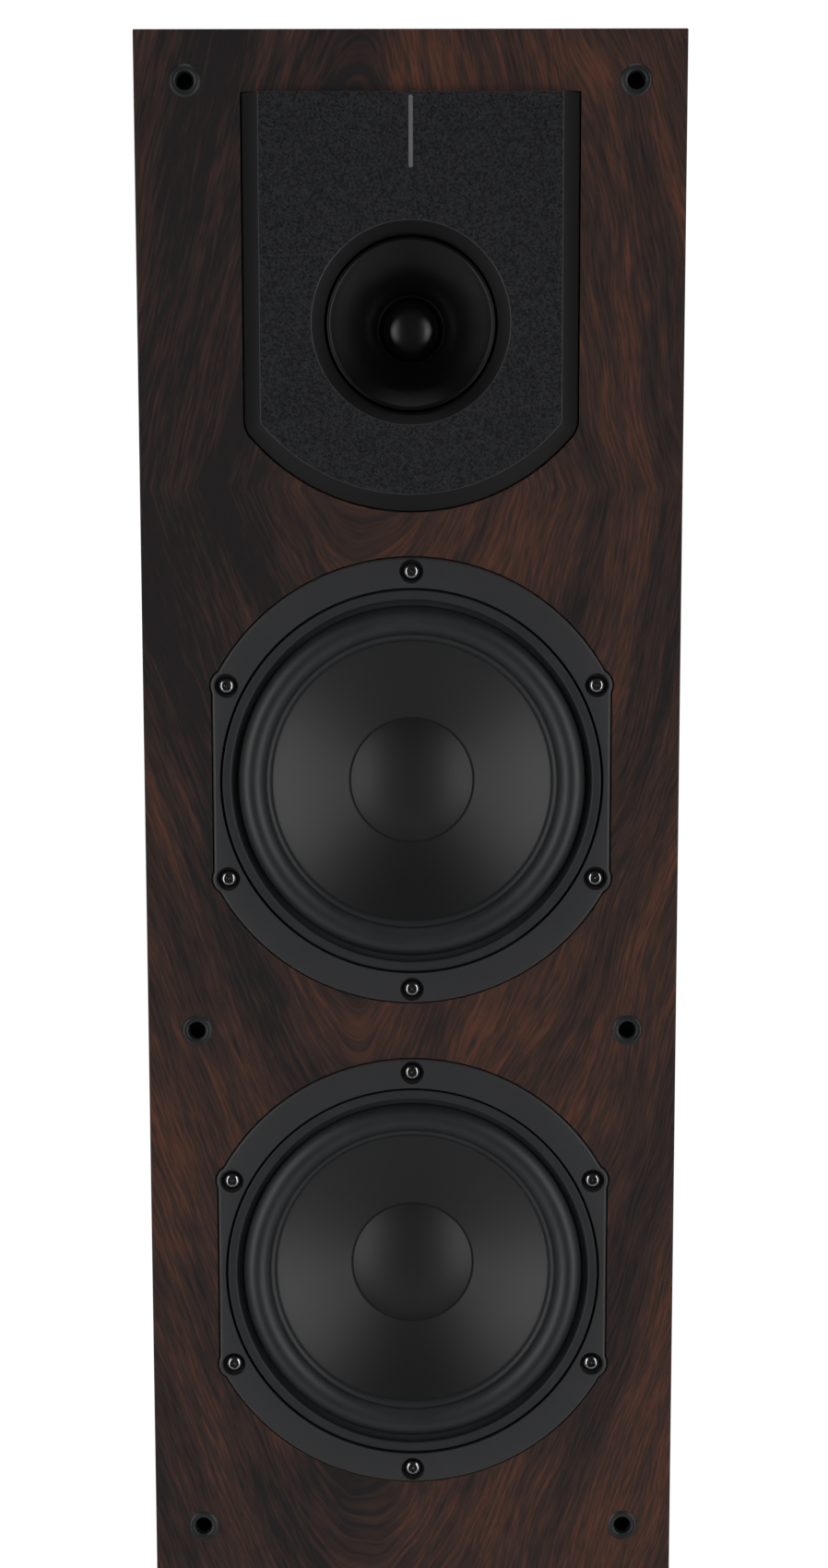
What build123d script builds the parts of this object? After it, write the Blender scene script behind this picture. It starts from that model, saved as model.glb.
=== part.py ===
from build123d import *
import math
import os

# A two-way floorstanding loudspeaker: a wood-wrapped box with a horn-loaded
# dome tweeter, two identical woofers, a rear port, a connection cup, an inner
# crossover and a plinth on four levelling feet.
# Millimetres. +Z is up, the listener is towards -Y, and the origin is on the
# floor under the middle of the plinth.

os.makedirs("parts", exist_ok=True)

# ---------------------------------------------------------------- cabinet
CABINET_WIDTH = 210.0
CABINET_DEPTH = 300.0
CABINET_HEIGHT = 960.0
BAFFLE_THICKNESS = 22.0
SIDE_THICKNESS = 16.0
REAR_THICKNESS = 18.0

PLINTH_WIDTH = 250.0
PLINTH_DEPTH = 330.0
PLINTH_THICKNESS = 22.0
PLINTH_EDGE = 3.0
PLINTH_RIM = 1.5
FOOT_HEIGHT = 26.0

# Brace shelves, by their middles above the floor of the cabinet
BRACE_THICKNESS = 16.0
LOW_BRACE_RISE = 352.0
BRACE_RIB_X = 16.0
BRACE_RIB_Y = 24.0
BRACE_WINDOW_CORNER = 12.0
LINING_THICKNESS = 10.0
LINING_MARGIN = 6.0

# ------------------------------------------------ places, down from the top
TWEETER_DROP = 108.3
UPPER_WOOFER_DROP = 283.2
LOWER_WOOFER_DROP = 479.9
SOCKET_DROPS = (18.8, 381.3, 585.6)
SOCKET_SPREAD = 171.2
PORT_RISE = 452.0
CUP_RISE = 112.0
BOARD_RISE = 242.0

# ---------------------------------------------------------- grille sockets
SOCKET_RIM_RADIUS = 6.1
SOCKET_RIM_PROUD = 0.8
SOCKET_BODY_RADIUS = 5.0
SOCKET_LENGTH = 14.0
SOCKET_HOLE_RADIUS = 3.2
SOCKET_HOLE_DEPTH = 11.0
SOCKET_RIM_TAPER = 30.0
PRESS_GAP = 0.05

# ------------------------------------------------------------------ tweeter
PLATE_HALF_WIDTH = 64.15
PLATE_TOP_DROP = 23.4
PLATE_ARC_RADIUS = 81.8
PLATE_BOTTOM_DROP = 178.7
PLATE_CORNER_RADIUS = 9.0
PLATE_SEAT = 6.0
PLATE_PROUD = 4.0
PLATE_BEVEL = 6.45
PLATE_GAP = 0.65
COUNTERSINK_RADIUS = 38.35
COUNTERSINK_FLOOR = 0.5
PLATE_SCREW_INSET = 15.0
CUT_MARGIN = 1.0
HORN_MOUTH_RADIUS = 32.5
HORN_MOUTH_GAP = 0.7
HORN_LIP = 1.5
HORN_THROAT_RADIUS = 13.0
HORN_DEPTH = 22.0
HORN_FLANGE_RADIUS = 42.0
HORN_FLANGE_THICKNESS = 3.0
HORN_WALL = 2.4
HORN_MOUTH_RUN = 5.3
HORN_MOUTH_FALL = 4.5
HORN_THROAT_LEAN = 3.0
HORN_THROAT_REACH = 12.0
HORN_LIP_DROP = 0.4
HORN_LIP_RISE = 0.3
HORN_LIP_WIDTH = 0.6
HORN_SHELF = 8.0
HORN_NECK_WALL = 5.4
HORN_NECK_LENGTH = 8.0
DOME_RADIUS = 12.5
DOME_HEIGHT = 4.6
DOME_SETBACK = 2.2
DOME_THICKNESS = 0.3
DOME_ROLL = 3.0
DOME_ROLL_HEIGHT = 0.9
TWEETER_POLE_RADIUS = 11.9
TWEETER_MAGNET_RADIUS = 10.5
TWEETER_CUP_RADIUS = 18.0
TWEETER_MAGNET_THICKNESS = 5.0
TWEETER_CHAMBER_DEPTH = 22.0
TWEETER_GAP = 0.35
TWEETER_WINDING = 0.35
TWEETER_ROLL_CLEARANCE = 0.4
TWEETER_RIM = 4.0
TWEETER_SHELF = 2.0
TWEETER_YOKE_WALL = 1.6

# ------------------------------------------------------------------ woofers
FLANGE_RADIUS = 87.0
FLANGE_FLAT = 78.0
FLANGE_THICKNESS = 6.5
FLANGE_PROUD = 0.8
FLANGE_GAP = 0.5
EAR_RADIUS = 6.3
BOLT_CIRCLE_RADIUS = 81.6
SIDE_BOLT_ANGLE = 27.5
BASKET_RADIUS = 74.8
BASKET_CLEARANCE = 0.8
BASKET_DEPTH = 53.0
POCKET_RADIUS = 75.3
POCKET_DEPTH = 4.2
POCKET_INNER_RADIUS = 69.0
GASKET_THICKNESS = 1.0
TRIM_OUTER_RADIUS = 74.5
TRIM_INNER_RADIUS = 70.6
ROLL_OUTER_RADIUS = 68.6
ROLL_INNER_RADIUS = 56.2
ROLL_HEIGHT = 4.6
ROLL_THICKNESS = 0.9
CONE_RADIUS = 55.1
CONE_EDGE_DEPTH = 6.3
CONE_LIP = 1.9
CONE_THICKNESS = 0.9
CONE_SLOPE = 24.4
CONE_NECK = 4.0
DUST_CAP_RADIUS = 24.25
DUST_CAP_HEIGHT = 6.2
DUST_CAP_THICKNESS = 0.8
COIL_RADIUS = 19.0
FORMER_THICKNESS = 0.5
WINDING_THICKNESS = 0.8
WINDING_LENGTH = 16.0
SPIDER_DEPTH = 34.0
SPIDER_RADIUS = 52.0
SPIDER_THICKNESS = 0.8
SPIDER_WAVES = 4
SPIDER_WAVE_HEIGHT = 2.2
SPIDER_COLLAR = 1.5
SPIDER_RIM = 6.0
TOP_PLATE_THICKNESS = 6.0
TOP_PLATE_RADIUS = 46.0
MAGNET_RADIUS = 50.0
MAGNET_HOLE_RADIUS = 27.0
MAGNET_THICKNESS = 18.0
BACK_PLATE_THICKNESS = 6.0
VENT_RADIUS = 6.0
MOTOR_GAP = 0.45
SPOKE_COUNT = 6
SPOKE_WIDTH = 15.0
GLUE_GAP = 0.1

# ------------------------------------------------------------------ screws
HEAD_RADIUS = 3.45
HEAD_HEIGHT = 2.5
HEAD_SEAT = 2.0
COUNTERBORE_RADIUS = 4.65
SHANK_RADIUS = 1.9
SHANK_HOLE_RADIUS = 2.2
WOOFER_SCREW_LENGTH = 18.0
PANEL_SCREW_LENGTH = 16.0
PLATE_SCREW_SEAT = 16.0
RECESS_WIDTH = 0.9
RECESS_LENGTH = 3.6
RECESS_DEPTH = 1.4
PLINTH_SCREW_LENGTH = 32.0
PLINTH_HEAD_RADIUS = 5.0
PLINTH_SHANK_RADIUS = 2.6
PLINTH_SCREW_INSET = 40.0
PLINTH_HEAD_SEAT = 2.0
HEAD_TAPER = 14.0

# ------------------------------------------------------------------- rear
PORT_RADIUS = 27.0
PORT_WALL = 2.5
PORT_LENGTH = 122.0
PORT_FLARE = 9.0
PORT_INNER_FLARE = 0.6
REAR_RIM = 1.0
PORT_FLANGE_RADIUS = 49.0
REAR_FLANGE_THICKNESS = 3.0
CUP_WIDTH = 124.0
CUP_HEIGHT = 96.0
CUP_RECESS_WIDTH = 96.0
CUP_RECESS_HEIGHT = 68.0
CUP_DEPTH = 20.0
CUP_WALL = 3.0
CUP_CORNER = 8.0
CUP_SCREW_INSET = 7.0
CUP_HOLE_GAP = 0.5
POST_SPREAD = 38.0
POST_RADIUS = 4.0
POST_END = 25.0
POST_COLLAR_RADIUS = 6.5
POST_COLLAR_HEIGHT = 3.0
POST_TAIL = 14.0
NUT_FLATS = 13.0
NUT_THICKNESS = 4.0
BANANA_RADIUS = 2.05
BANANA_DEPTH = 17.0
RUNNING_GAP = 0.05
FREE_GAP = 0.3
WASHER_RADIUS = 7.6
WASHER_THICKNESS = 2.0
KNOB_RADIUS = 8.2
KNOB_LENGTH = 13.0
KNOB_FLUTES = 12
KNOB_FLUTE_RADIUS = 1.1
KNOB_FLUTE_OFFSET = 0.33

# --------------------------------------------------------------- crossover
BOARD_WIDTH = 110.0
BOARD_HEIGHT = 150.0
BOARD_THICKNESS = 2.0
BOARD_STANDOFF = 8.0
BOARD_EDGE = 7.0
COIL_OUTER = 17.0
COIL_INNER = 7.0
COIL_LENGTH = 20.0
CAPACITOR_RADIUS = 9.0
CAPACITOR_LENGTH = 36.0
RESISTOR_WIDTH = 9.5
RESISTOR_RISE = 9.0
RESISTOR_LENGTH = 48.0
TERMINAL_SIZE = 10.0
WIRE_RADIUS = 2.5
LEAD_INSET = 6.0
LEAD_ARC_SHARE = 0.45
CAPACITOR_X = 12.0
RESISTOR_X = 20.0

# -------------------------------------------------------------------- feet
FOOT_X = 104.0
FOOT_Y = 144.0
PAD_RADIUS = 20.0
PAD_HEIGHT = 10.0
PAD_SOCKET_DEPTH = 6.0
STUD_RADIUS = 4.0
STUD_TIP_GAP = 1.5
WHEEL_RADIUS = 15.0
WHEEL_THICKNESS = 7.0
WHEEL_NOTCHES = 24
NOTCH_RADIUS = 1.0
NOTCH_OFFSET = 0.4
WHEEL_RIM = 1.0
PAD_RIM = 1.0
PAD_SHOULDER = 5.5
PAD_TOP_RADIUS = 16.0
NECK_RADIUS = 6.5

# ---------------------------------------------------------- derived places
CABINET_FLOOR = FOOT_HEIGHT + PLINTH_THICKNESS
CABINET_TOP = CABINET_FLOOR + CABINET_HEIGHT
FRONT_Y = -CABINET_DEPTH / 2
REAR_Y = CABINET_DEPTH / 2
INNER_WIDTH = CABINET_WIDTH - 2 * SIDE_THICKNESS
INNER_FRONT_Y = FRONT_Y + BAFFLE_THICKNESS
INNER_REAR_Y = REAR_Y - REAR_THICKNESS
TWEETER_Z = CABINET_TOP - TWEETER_DROP
WOOFER_Z = {"upper": CABINET_TOP - UPPER_WOOFER_DROP, "lower": CABINET_TOP - LOWER_WOOFER_DROP}
PORT_Z = CABINET_FLOOR + PORT_RISE
CUP_Z = CABINET_FLOOR + CUP_RISE
BOARD_Z = CABINET_FLOOR + BOARD_RISE
SOCKET_POINTS = [(side * SOCKET_SPREAD / 2, CABINET_TOP - drop) for drop in SOCKET_DROPS for side in (-1, 1)]

# Woofer stack, as depths behind the front of the baffle
FLANGE_BACK = FLANGE_THICKNESS - FLANGE_PROUD
FLANGE_SEAT = FLANGE_BACK + GASKET_THICKNESS
FOOT_FRONT = POCKET_DEPTH - ROLL_THICKNESS
CONE_TAN = math.tan(math.radians(CONE_SLOPE))
CAP_EDGE_DEPTH = CONE_EDGE_DEPTH + (CONE_RADIUS - DUST_CAP_RADIUS) * CONE_TAN
FORMER_OUTER = COIL_RADIUS + FORMER_THICKNESS
WINDING_OUTER = FORMER_OUTER + WINDING_THICKNESS
NECK_DEPTH = CONE_EDGE_DEPTH + (CONE_RADIUS - FORMER_OUTER) * CONE_TAN
TOP_PLATE_FRONT = BASKET_DEPTH
MAGNET_FRONT = TOP_PLATE_FRONT + TOP_PLATE_THICKNESS
MAGNET_BACK = MAGNET_FRONT + MAGNET_THICKNESS
MOTOR_BACK = MAGNET_BACK + BACK_PLATE_THICKNESS
COIL_MIDDLE = TOP_PLATE_FRONT + TOP_PLATE_THICKNESS / 2
FORMER_BACK = COIL_MIDDLE + WINDING_LENGTH / 2 + 1.0
SPIDER_LEDGE = SPIDER_DEPTH + SPIDER_THICKNESS / 2

# Tweeter stack, as depths behind the front of the baffle
HORN_FRONT = -0.5
HORN_FLANGE_FRONT = PLATE_SEAT
HORN_FLANGE_BACK = HORN_FLANGE_FRONT + HORN_FLANGE_THICKNESS
HORN_BACK = HORN_DEPTH + DOME_SETBACK
TWEETER_GAP_DEPTH = HORN_BACK + 1.5
TWEETER_POLE_BACK = TWEETER_GAP_DEPTH + 3.0
TWEETER_MAGNET_BACK = TWEETER_POLE_BACK + TWEETER_MAGNET_THICKNESS
TWEETER_CUP_BACK = TWEETER_MAGNET_BACK + TWEETER_RIM
TWEETER_FORMER_OUTER = DOME_RADIUS
TWEETER_WINDING_OUTER = DOME_RADIUS + TWEETER_WINDING


def face_plane(height, depth=0.0):
    """Plane facing the listener, at a depth behind the front of the baffle."""
    return Plane(origin=(0, FRONT_Y + depth, height), x_dir=(1, 0, 0), z_dir=(0, -1, 0))


def rear_plane(height, outside=0.0):
    """Plane facing backwards, at a height outside the rear of the cabinet."""
    return Plane(origin=(0, REAR_Y + outside, height), x_dir=(-1, 0, 0), z_dir=(0, 1, 0))


def section_plane(height):
    """Half section of a driver: X is the radius and Y the depth behind the baffle's front."""
    return Plane(origin=(0, FRONT_Y, height), x_dir=(1, 0, 0), z_dir=(0, 0, 1))


def rear_section_plane(x, height):
    """Half section of a rear piece: X is the radius and Y the height outside the rear face."""
    return Plane(origin=(x, REAR_Y, height), x_dir=(1, 0, 0), z_dir=(0, 0, 1))


def front_axis(height):
    """Axis of a driver."""
    return Axis((0, FRONT_Y, height), (0, 1, 0))


def rear_axis(x, height):
    """Axis of a rear piece."""
    return Axis((x, REAR_Y, height), (0, 1, 0))


def ring(inner, outer, front, back):
    """Section points of a plain ring, as (radius, depth)."""
    return [(inner, front), (outer, front), (outer, back), (inner, back)]


def write_piece(piece, label):
    """Name a finished piece and write it to its own file."""
    piece.part.label = label
    export_step(piece.part, f"parts/{label}.step")


def turned(label, places, profile):
    """Write the same solid of revolution at each driver height in places."""
    with BuildPart() as piece:
        for height in places:
            with BuildSketch(section_plane(height)):
                Polygon(*profile)
            revolve(axis=front_axis(height))
    write_piece(piece, label)


def side_bolt_points():
    """The four screws beside the flats of a woofer flange."""
    across = BOLT_CIRCLE_RADIUS * math.cos(math.radians(SIDE_BOLT_ANGLE))
    up = BOLT_CIRCLE_RADIUS * math.sin(math.radians(SIDE_BOLT_ANGLE))
    return [(side * across, level * up) for side in (-1, 1) for level in (-1, 1)]


def bolt_points():
    """All six screws of a woofer flange."""
    return side_bolt_points() + [(0, BOLT_CIRCLE_RADIUS), (0, -BOLT_CIRCLE_RADIUS)]


def flange_outline(margin=0.0):
    """Woofer flange: a disc with two flats and a round ear at each side screw."""
    Circle(FLANGE_RADIUS + margin)
    Rectangle(2 * (FLANGE_FLAT + margin), 3 * FLANGE_RADIUS, mode=Mode.INTERSECT)
    with Locations(*side_bolt_points()):
        Circle(EAR_RADIUS + margin)


def corner_points(width, height):
    """Four corners of a rectangle about the sketch's middle."""
    return [(x * width / 2, y * height / 2) for x in (-1, 1) for y in (-1, 1)]


BAFFLE_MIDDLE = CABINET_FLOOR + CABINET_HEIGHT / 2
BOLT_POINTS = bolt_points()
PORT_SCREW_RADIUS = (PORT_FLANGE_RADIUS + PORT_RADIUS + PORT_FLARE + PORT_WALL) / 2 + 1.0
PORT_SCREW_POINTS = corner_points(PORT_SCREW_RADIUS * math.sqrt(2), PORT_SCREW_RADIUS * math.sqrt(2))
CUP_SCREW_POINTS = corner_points(CUP_WIDTH - 2 * CUP_SCREW_INSET, CUP_HEIGHT - 2 * CUP_SCREW_INSET)
BOARD_SCREW_POINTS = corner_points(BOARD_WIDTH - 2 * BOARD_EDGE, BOARD_HEIGHT - 2 * BOARD_EDGE)
PLATE_SCREW_SPREAD = 2 * (PLATE_HALF_WIDTH - PLATE_SCREW_INSET)
PLATE_SCREW_POINTS = corner_points(PLATE_SCREW_SPREAD, PLATE_SCREW_SPREAD)
PLINTH_SCREW_POINTS = corner_points(CABINET_WIDTH - 2 * PLINTH_SCREW_INSET, CABINET_DEPTH - 2 * PLINTH_SCREW_INSET)
FOOT_POINTS = corner_points(2 * FOOT_X, 2 * FOOT_Y)

# --------------------------------------------------------- waveguide plate
# Outline about the tweeter axis: straight sides, a wide arc below.
PLATE_TOP = TWEETER_DROP - PLATE_TOP_DROP
PLATE_BOTTOM = TWEETER_DROP - PLATE_BOTTOM_DROP
PLATE_ARC_MIDDLE = PLATE_BOTTOM + PLATE_ARC_RADIUS
PLATE_SIDE_END = PLATE_ARC_MIDDLE - math.sqrt(PLATE_ARC_RADIUS**2 - PLATE_HALF_WIDTH**2)

with BuildSketch() as plate_shape:
    with BuildLine():
        Polyline(
            (PLATE_HALF_WIDTH, PLATE_SIDE_END),
            (PLATE_HALF_WIDTH, PLATE_TOP),
            (-PLATE_HALF_WIDTH, PLATE_TOP),
            (-PLATE_HALF_WIDTH, PLATE_SIDE_END),
        )
        ThreePointArc(
            (-PLATE_HALF_WIDTH, PLATE_SIDE_END),
            (0, PLATE_BOTTOM),
            (PLATE_HALF_WIDTH, PLATE_SIDE_END),
        )
    make_face()
    fillet(plate_shape.vertices().group_by(Axis.Y)[0], PLATE_CORNER_RADIUS)

with BuildSketch() as plate_pocket_shape:
    add(plate_shape.sketch)
    offset(amount=PLATE_GAP, kind=Kind.INTERSECTION)

with BuildPart() as waveguide_plate:
    with BuildSketch(face_plane(TWEETER_Z, PLATE_SEAT)):
        add(plate_shape.sketch)
    extrude(amount=PLATE_SEAT + PLATE_PROUD)
    plate_front = waveguide_plate.faces().sort_by(Axis.Y)[0]
    bevel_edges = plate_front.edges().sort_by(Axis.Z)[:-1]
    chamfer(bevel_edges, length=PLATE_BEVEL, length2=PLATE_PROUD, reference=plate_front)
    # Opening for the horn's mouth, with a countersunk rim
    with BuildSketch(section_plane(TWEETER_Z)):
        Polygon(
            (0, -PLATE_PROUD - CUT_MARGIN),
            (COUNTERSINK_RADIUS + CUT_MARGIN, -PLATE_PROUD - CUT_MARGIN),
            (COUNTERSINK_RADIUS, -PLATE_PROUD),
            (HORN_MOUTH_RADIUS + HORN_MOUTH_GAP, COUNTERSINK_FLOOR),
            (HORN_MOUTH_RADIUS + HORN_MOUTH_GAP, PLATE_SEAT + CUT_MARGIN),
            (0, PLATE_SEAT + CUT_MARGIN),
        )
    revolve(axis=front_axis(TWEETER_Z), mode=Mode.SUBTRACT)
    # Pilot holes for the screws from behind
    with BuildSketch(face_plane(TWEETER_Z, PLATE_SEAT)):
        with Locations(*PLATE_SCREW_POINTS):
            Circle(SHANK_RADIUS + PRESS_GAP)
    extrude(amount=PLATE_SEAT + FREE_GAP, mode=Mode.SUBTRACT)
write_piece(waveguide_plate, "waveguide_plate")

# ------------------------------------------------------------ front baffle
with BuildPart() as front_baffle:
    with BuildSketch(face_plane(BAFFLE_MIDDLE)):
        Rectangle(CABINET_WIDTH, CABINET_HEIGHT)
    extrude(amount=-BAFFLE_THICKNESS)
    # Seats, openings and pilot holes of the two woofers
    for woofer_z in WOOFER_Z.values():
        with BuildSketch(face_plane(woofer_z)):
            flange_outline(FLANGE_GAP)
        extrude(amount=-FLANGE_SEAT, mode=Mode.SUBTRACT)
        with BuildSketch(face_plane(woofer_z)):
            Circle(BASKET_RADIUS + BASKET_CLEARANCE)
        extrude(amount=-BAFFLE_THICKNESS, mode=Mode.SUBTRACT)
        with BuildSketch(face_plane(woofer_z)):
            with Locations(*BOLT_POINTS):
                Circle(SHANK_RADIUS + PRESS_GAP)
        extrude(amount=-HEAD_SEAT - WOOFER_SCREW_LENGTH, mode=Mode.SUBTRACT)
    # Seat of the waveguide plate, seat of the horn's flange, and its opening
    with BuildSketch(face_plane(TWEETER_Z)):
        add(plate_pocket_shape.sketch)
    extrude(amount=-PLATE_SEAT, mode=Mode.SUBTRACT)
    with BuildSketch(face_plane(TWEETER_Z)):
        Circle(HORN_FLANGE_RADIUS + FLANGE_GAP)
    extrude(amount=-HORN_FLANGE_BACK, mode=Mode.SUBTRACT)
    with BuildSketch(face_plane(TWEETER_Z)):
        Circle(HORN_MOUTH_RADIUS + HORN_WALL)
    extrude(amount=-BAFFLE_THICKNESS, mode=Mode.SUBTRACT)
    with BuildSketch(face_plane(TWEETER_Z)):
        with Locations(*PLATE_SCREW_POINTS):
            Circle(SHANK_HOLE_RADIUS)
    extrude(amount=-BAFFLE_THICKNESS, mode=Mode.SUBTRACT)
    with BuildSketch(face_plane(TWEETER_Z, BAFFLE_THICKNESS)):
        with Locations(*PLATE_SCREW_POINTS):
            Circle(HEAD_RADIUS + FREE_GAP)
    extrude(amount=BAFFLE_THICKNESS - PLATE_SCREW_SEAT, mode=Mode.SUBTRACT)
    # Holes for the six grille sockets
    with BuildSketch(face_plane(0)):
        with Locations(*SOCKET_POINTS):
            Circle(SOCKET_BODY_RADIUS + PRESS_GAP)
    extrude(amount=-SOCKET_LENGTH, mode=Mode.SUBTRACT)
write_piece(front_baffle, "front_baffle")

# ------------------------------------------------------------- side panels
SHELL_DEPTH = CABINET_DEPTH - BAFFLE_THICKNESS
SHELL_MIDDLE_Y = INNER_FRONT_Y + SHELL_DEPTH / 2

for side_name, side in (("left", -1), ("right", 1)):
    with BuildPart() as side_panel:
        with BuildSketch(Plane.XY.offset(CABINET_FLOOR)):
            with Locations((side * (CABINET_WIDTH - SIDE_THICKNESS) / 2, SHELL_MIDDLE_Y)):
                Rectangle(SIDE_THICKNESS, SHELL_DEPTH)
        extrude(amount=CABINET_HEIGHT)
    write_piece(side_panel, f"{side_name}_side_panel")

with BuildPart() as top_panel:
    with BuildSketch(Plane.XY.offset(CABINET_TOP)):
        with Locations((0, SHELL_MIDDLE_Y)):
            Rectangle(INNER_WIDTH, SHELL_DEPTH)
    extrude(amount=-SIDE_THICKNESS)
write_piece(top_panel, "top_panel")

with BuildPart() as bottom_panel:
    with BuildSketch(Plane.XY.offset(CABINET_FLOOR)):
        with Locations((0, SHELL_MIDDLE_Y)):
            Rectangle(INNER_WIDTH, SHELL_DEPTH)
        with Locations(*PLINTH_SCREW_POINTS):
            Circle(PLINTH_SHANK_RADIUS + PRESS_GAP, mode=Mode.SUBTRACT)
    extrude(amount=SIDE_THICKNESS)
write_piece(bottom_panel, "bottom_panel")

# -------------------------------------------------------------- rear panel
PORT_HOLE_RADIUS = PORT_RADIUS + PORT_FLARE + PORT_WALL + PRESS_GAP
CUP_HOLE_WIDTH = CUP_RECESS_WIDTH + 2 * (CUP_WALL + CUP_HOLE_GAP)
CUP_HOLE_HEIGHT = CUP_RECESS_HEIGHT + 2 * (CUP_WALL + CUP_HOLE_GAP)

with BuildPart() as rear_panel:
    with BuildSketch(rear_plane(BAFFLE_MIDDLE)):
        Rectangle(INNER_WIDTH, CABINET_HEIGHT - 2 * SIDE_THICKNESS)
    extrude(amount=-REAR_THICKNESS)
    with BuildSketch(rear_plane(PORT_Z)):
        Circle(PORT_HOLE_RADIUS)
    extrude(amount=-REAR_THICKNESS, mode=Mode.SUBTRACT)
    with BuildSketch(rear_plane(CUP_Z)):
        RectangleRounded(CUP_HOLE_WIDTH, CUP_HOLE_HEIGHT, CUP_CORNER)
    extrude(amount=-REAR_THICKNESS, mode=Mode.SUBTRACT)
    for screw_z, screw_points in ((PORT_Z, PORT_SCREW_POINTS), (CUP_Z, CUP_SCREW_POINTS)):
        with BuildSketch(rear_plane(screw_z)):
            with Locations(*screw_points):
                Circle(SHANK_RADIUS + PRESS_GAP)
        extrude(amount=-PANEL_SCREW_LENGTH, mode=Mode.SUBTRACT)
    with BuildSketch(rear_plane(BOARD_Z, -REAR_THICKNESS)):
        with Locations(*BOARD_SCREW_POINTS):
            Circle(SHANK_RADIUS + PRESS_GAP)
    extrude(amount=PANEL_SCREW_LENGTH - BOARD_STANDOFF, mode=Mode.SUBTRACT)
write_piece(rear_panel, "rear_panel")

# ------------------------------------------------------------ window braces
INNER_DEPTH = INNER_REAR_Y - INNER_FRONT_Y
INNER_MIDDLE_Y = (INNER_REAR_Y + INNER_FRONT_Y) / 2
WINDOW_WIDTH = (INNER_WIDTH - 3 * BRACE_RIB_X) / 2
WINDOW_DEPTH = (INNER_DEPTH - 3 * BRACE_RIB_Y) / 2
UPPER_BASKET_TOP = WOOFER_Z["upper"] + BASKET_RADIUS
BRACE_Z = (
    CABINET_FLOOR + LOW_BRACE_RISE,
    (WOOFER_Z["upper"] + WOOFER_Z["lower"]) / 2,
    (UPPER_BASKET_TOP + TWEETER_Z - HORN_FLANGE_RADIUS) / 2,
)

with BuildPart() as window_braces:
    for brace_z in BRACE_Z:
        with BuildSketch(Plane.XY.offset(brace_z - BRACE_THICKNESS / 2)):
            with Locations((0, INNER_MIDDLE_Y)):
                Rectangle(INNER_WIDTH, INNER_DEPTH)
                with GridLocations(WINDOW_WIDTH + BRACE_RIB_X, WINDOW_DEPTH + BRACE_RIB_Y, 2, 2):
                    RectangleRounded(WINDOW_WIDTH, WINDOW_DEPTH, BRACE_WINDOW_CORNER, mode=Mode.SUBTRACT)
        extrude(amount=BRACE_THICKNESS)
write_piece(window_braces, "window_braces")

# -------------------------------------------------- wadding on the side walls
bay_edges = [CABINET_FLOOR + SIDE_THICKNESS]
for brace_z in BRACE_Z:
    bay_edges += [brace_z - BRACE_THICKNESS / 2, brace_z + BRACE_THICKNESS / 2]
bay_edges.append(CABINET_TOP - SIDE_THICKNESS)

with BuildPart() as damping_lining:
    for bay_bottom, bay_top in zip(bay_edges[0::2], bay_edges[1::2]):
        with BuildSketch(Plane.XY.offset(bay_bottom + LINING_MARGIN)):
            for side in (-1, 1):
                with Locations((side * (INNER_WIDTH - LINING_THICKNESS) / 2, INNER_MIDDLE_Y)):
                    Rectangle(LINING_THICKNESS, INNER_DEPTH - 2 * LINING_MARGIN)
        extrude(amount=bay_top - bay_bottom - 2 * LINING_MARGIN)
write_piece(damping_lining, "damping_lining")

# ---------------------------------------------------------- grille sockets
with BuildPart() as grille_sockets:
    with BuildSketch(face_plane(0)):
        with Locations(*SOCKET_POINTS):
            Circle(SOCKET_RIM_RADIUS)
    extrude(amount=SOCKET_RIM_PROUD, taper=SOCKET_RIM_TAPER)
    with BuildSketch(face_plane(0)):
        with Locations(*SOCKET_POINTS):
            Circle(SOCKET_BODY_RADIUS)
    extrude(amount=-SOCKET_LENGTH)
    with BuildSketch(face_plane(0, -SOCKET_RIM_PROUD)):
        with Locations(*SOCKET_POINTS):
            Circle(SOCKET_HOLE_RADIUS)
    extrude(amount=-SOCKET_HOLE_DEPTH - SOCKET_RIM_PROUD, mode=Mode.SUBTRACT)
write_piece(grille_sockets, "grille_sockets")

# -------------------------------------------------------------------- horn
with BuildPart() as waveguide_horn:
    with BuildSketch(section_plane(TWEETER_Z)):
        with BuildLine():
            mouth_edge = (HORN_MOUTH_RADIUS - HORN_LIP, HORN_FRONT)
            mouth_guide = (mouth_edge[0] - HORN_MOUTH_RUN, HORN_FRONT + HORN_MOUTH_FALL)
            throat_guide = (HORN_THROAT_RADIUS + HORN_THROAT_LEAN, HORN_DEPTH - HORN_THROAT_REACH)
            throat_edge = (HORN_THROAT_RADIUS, HORN_DEPTH)
            Bezier(mouth_edge, mouth_guide, throat_guide, throat_edge)
            Polyline(
                throat_edge,
                (DOME_RADIUS + DOME_ROLL + 1.0, HORN_DEPTH + 1.0),
                (DOME_RADIUS + DOME_ROLL + 1.0, HORN_BACK),
                (TWEETER_CUP_RADIUS + HORN_SHELF, HORN_BACK),
                (TWEETER_CUP_RADIUS + HORN_SHELF, HORN_BACK - HORN_WALL),
                (HORN_THROAT_RADIUS + HORN_NECK_WALL, HORN_BACK - HORN_WALL),
                (HORN_THROAT_RADIUS + HORN_NECK_WALL, HORN_DEPTH - HORN_NECK_LENGTH),
                (HORN_MOUTH_RADIUS, HORN_FLANGE_BACK),
                (HORN_FLANGE_RADIUS, HORN_FLANGE_BACK),
                (HORN_FLANGE_RADIUS, HORN_FLANGE_FRONT),
                (HORN_MOUTH_RADIUS, HORN_FLANGE_FRONT),
                (HORN_MOUTH_RADIUS, HORN_FRONT + HORN_LIP_DROP),
                (HORN_MOUTH_RADIUS - HORN_LIP_WIDTH, HORN_FRONT - HORN_LIP_RISE),
                mouth_edge,
            )
        make_face()
    revolve(axis=front_axis(TWEETER_Z))
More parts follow.
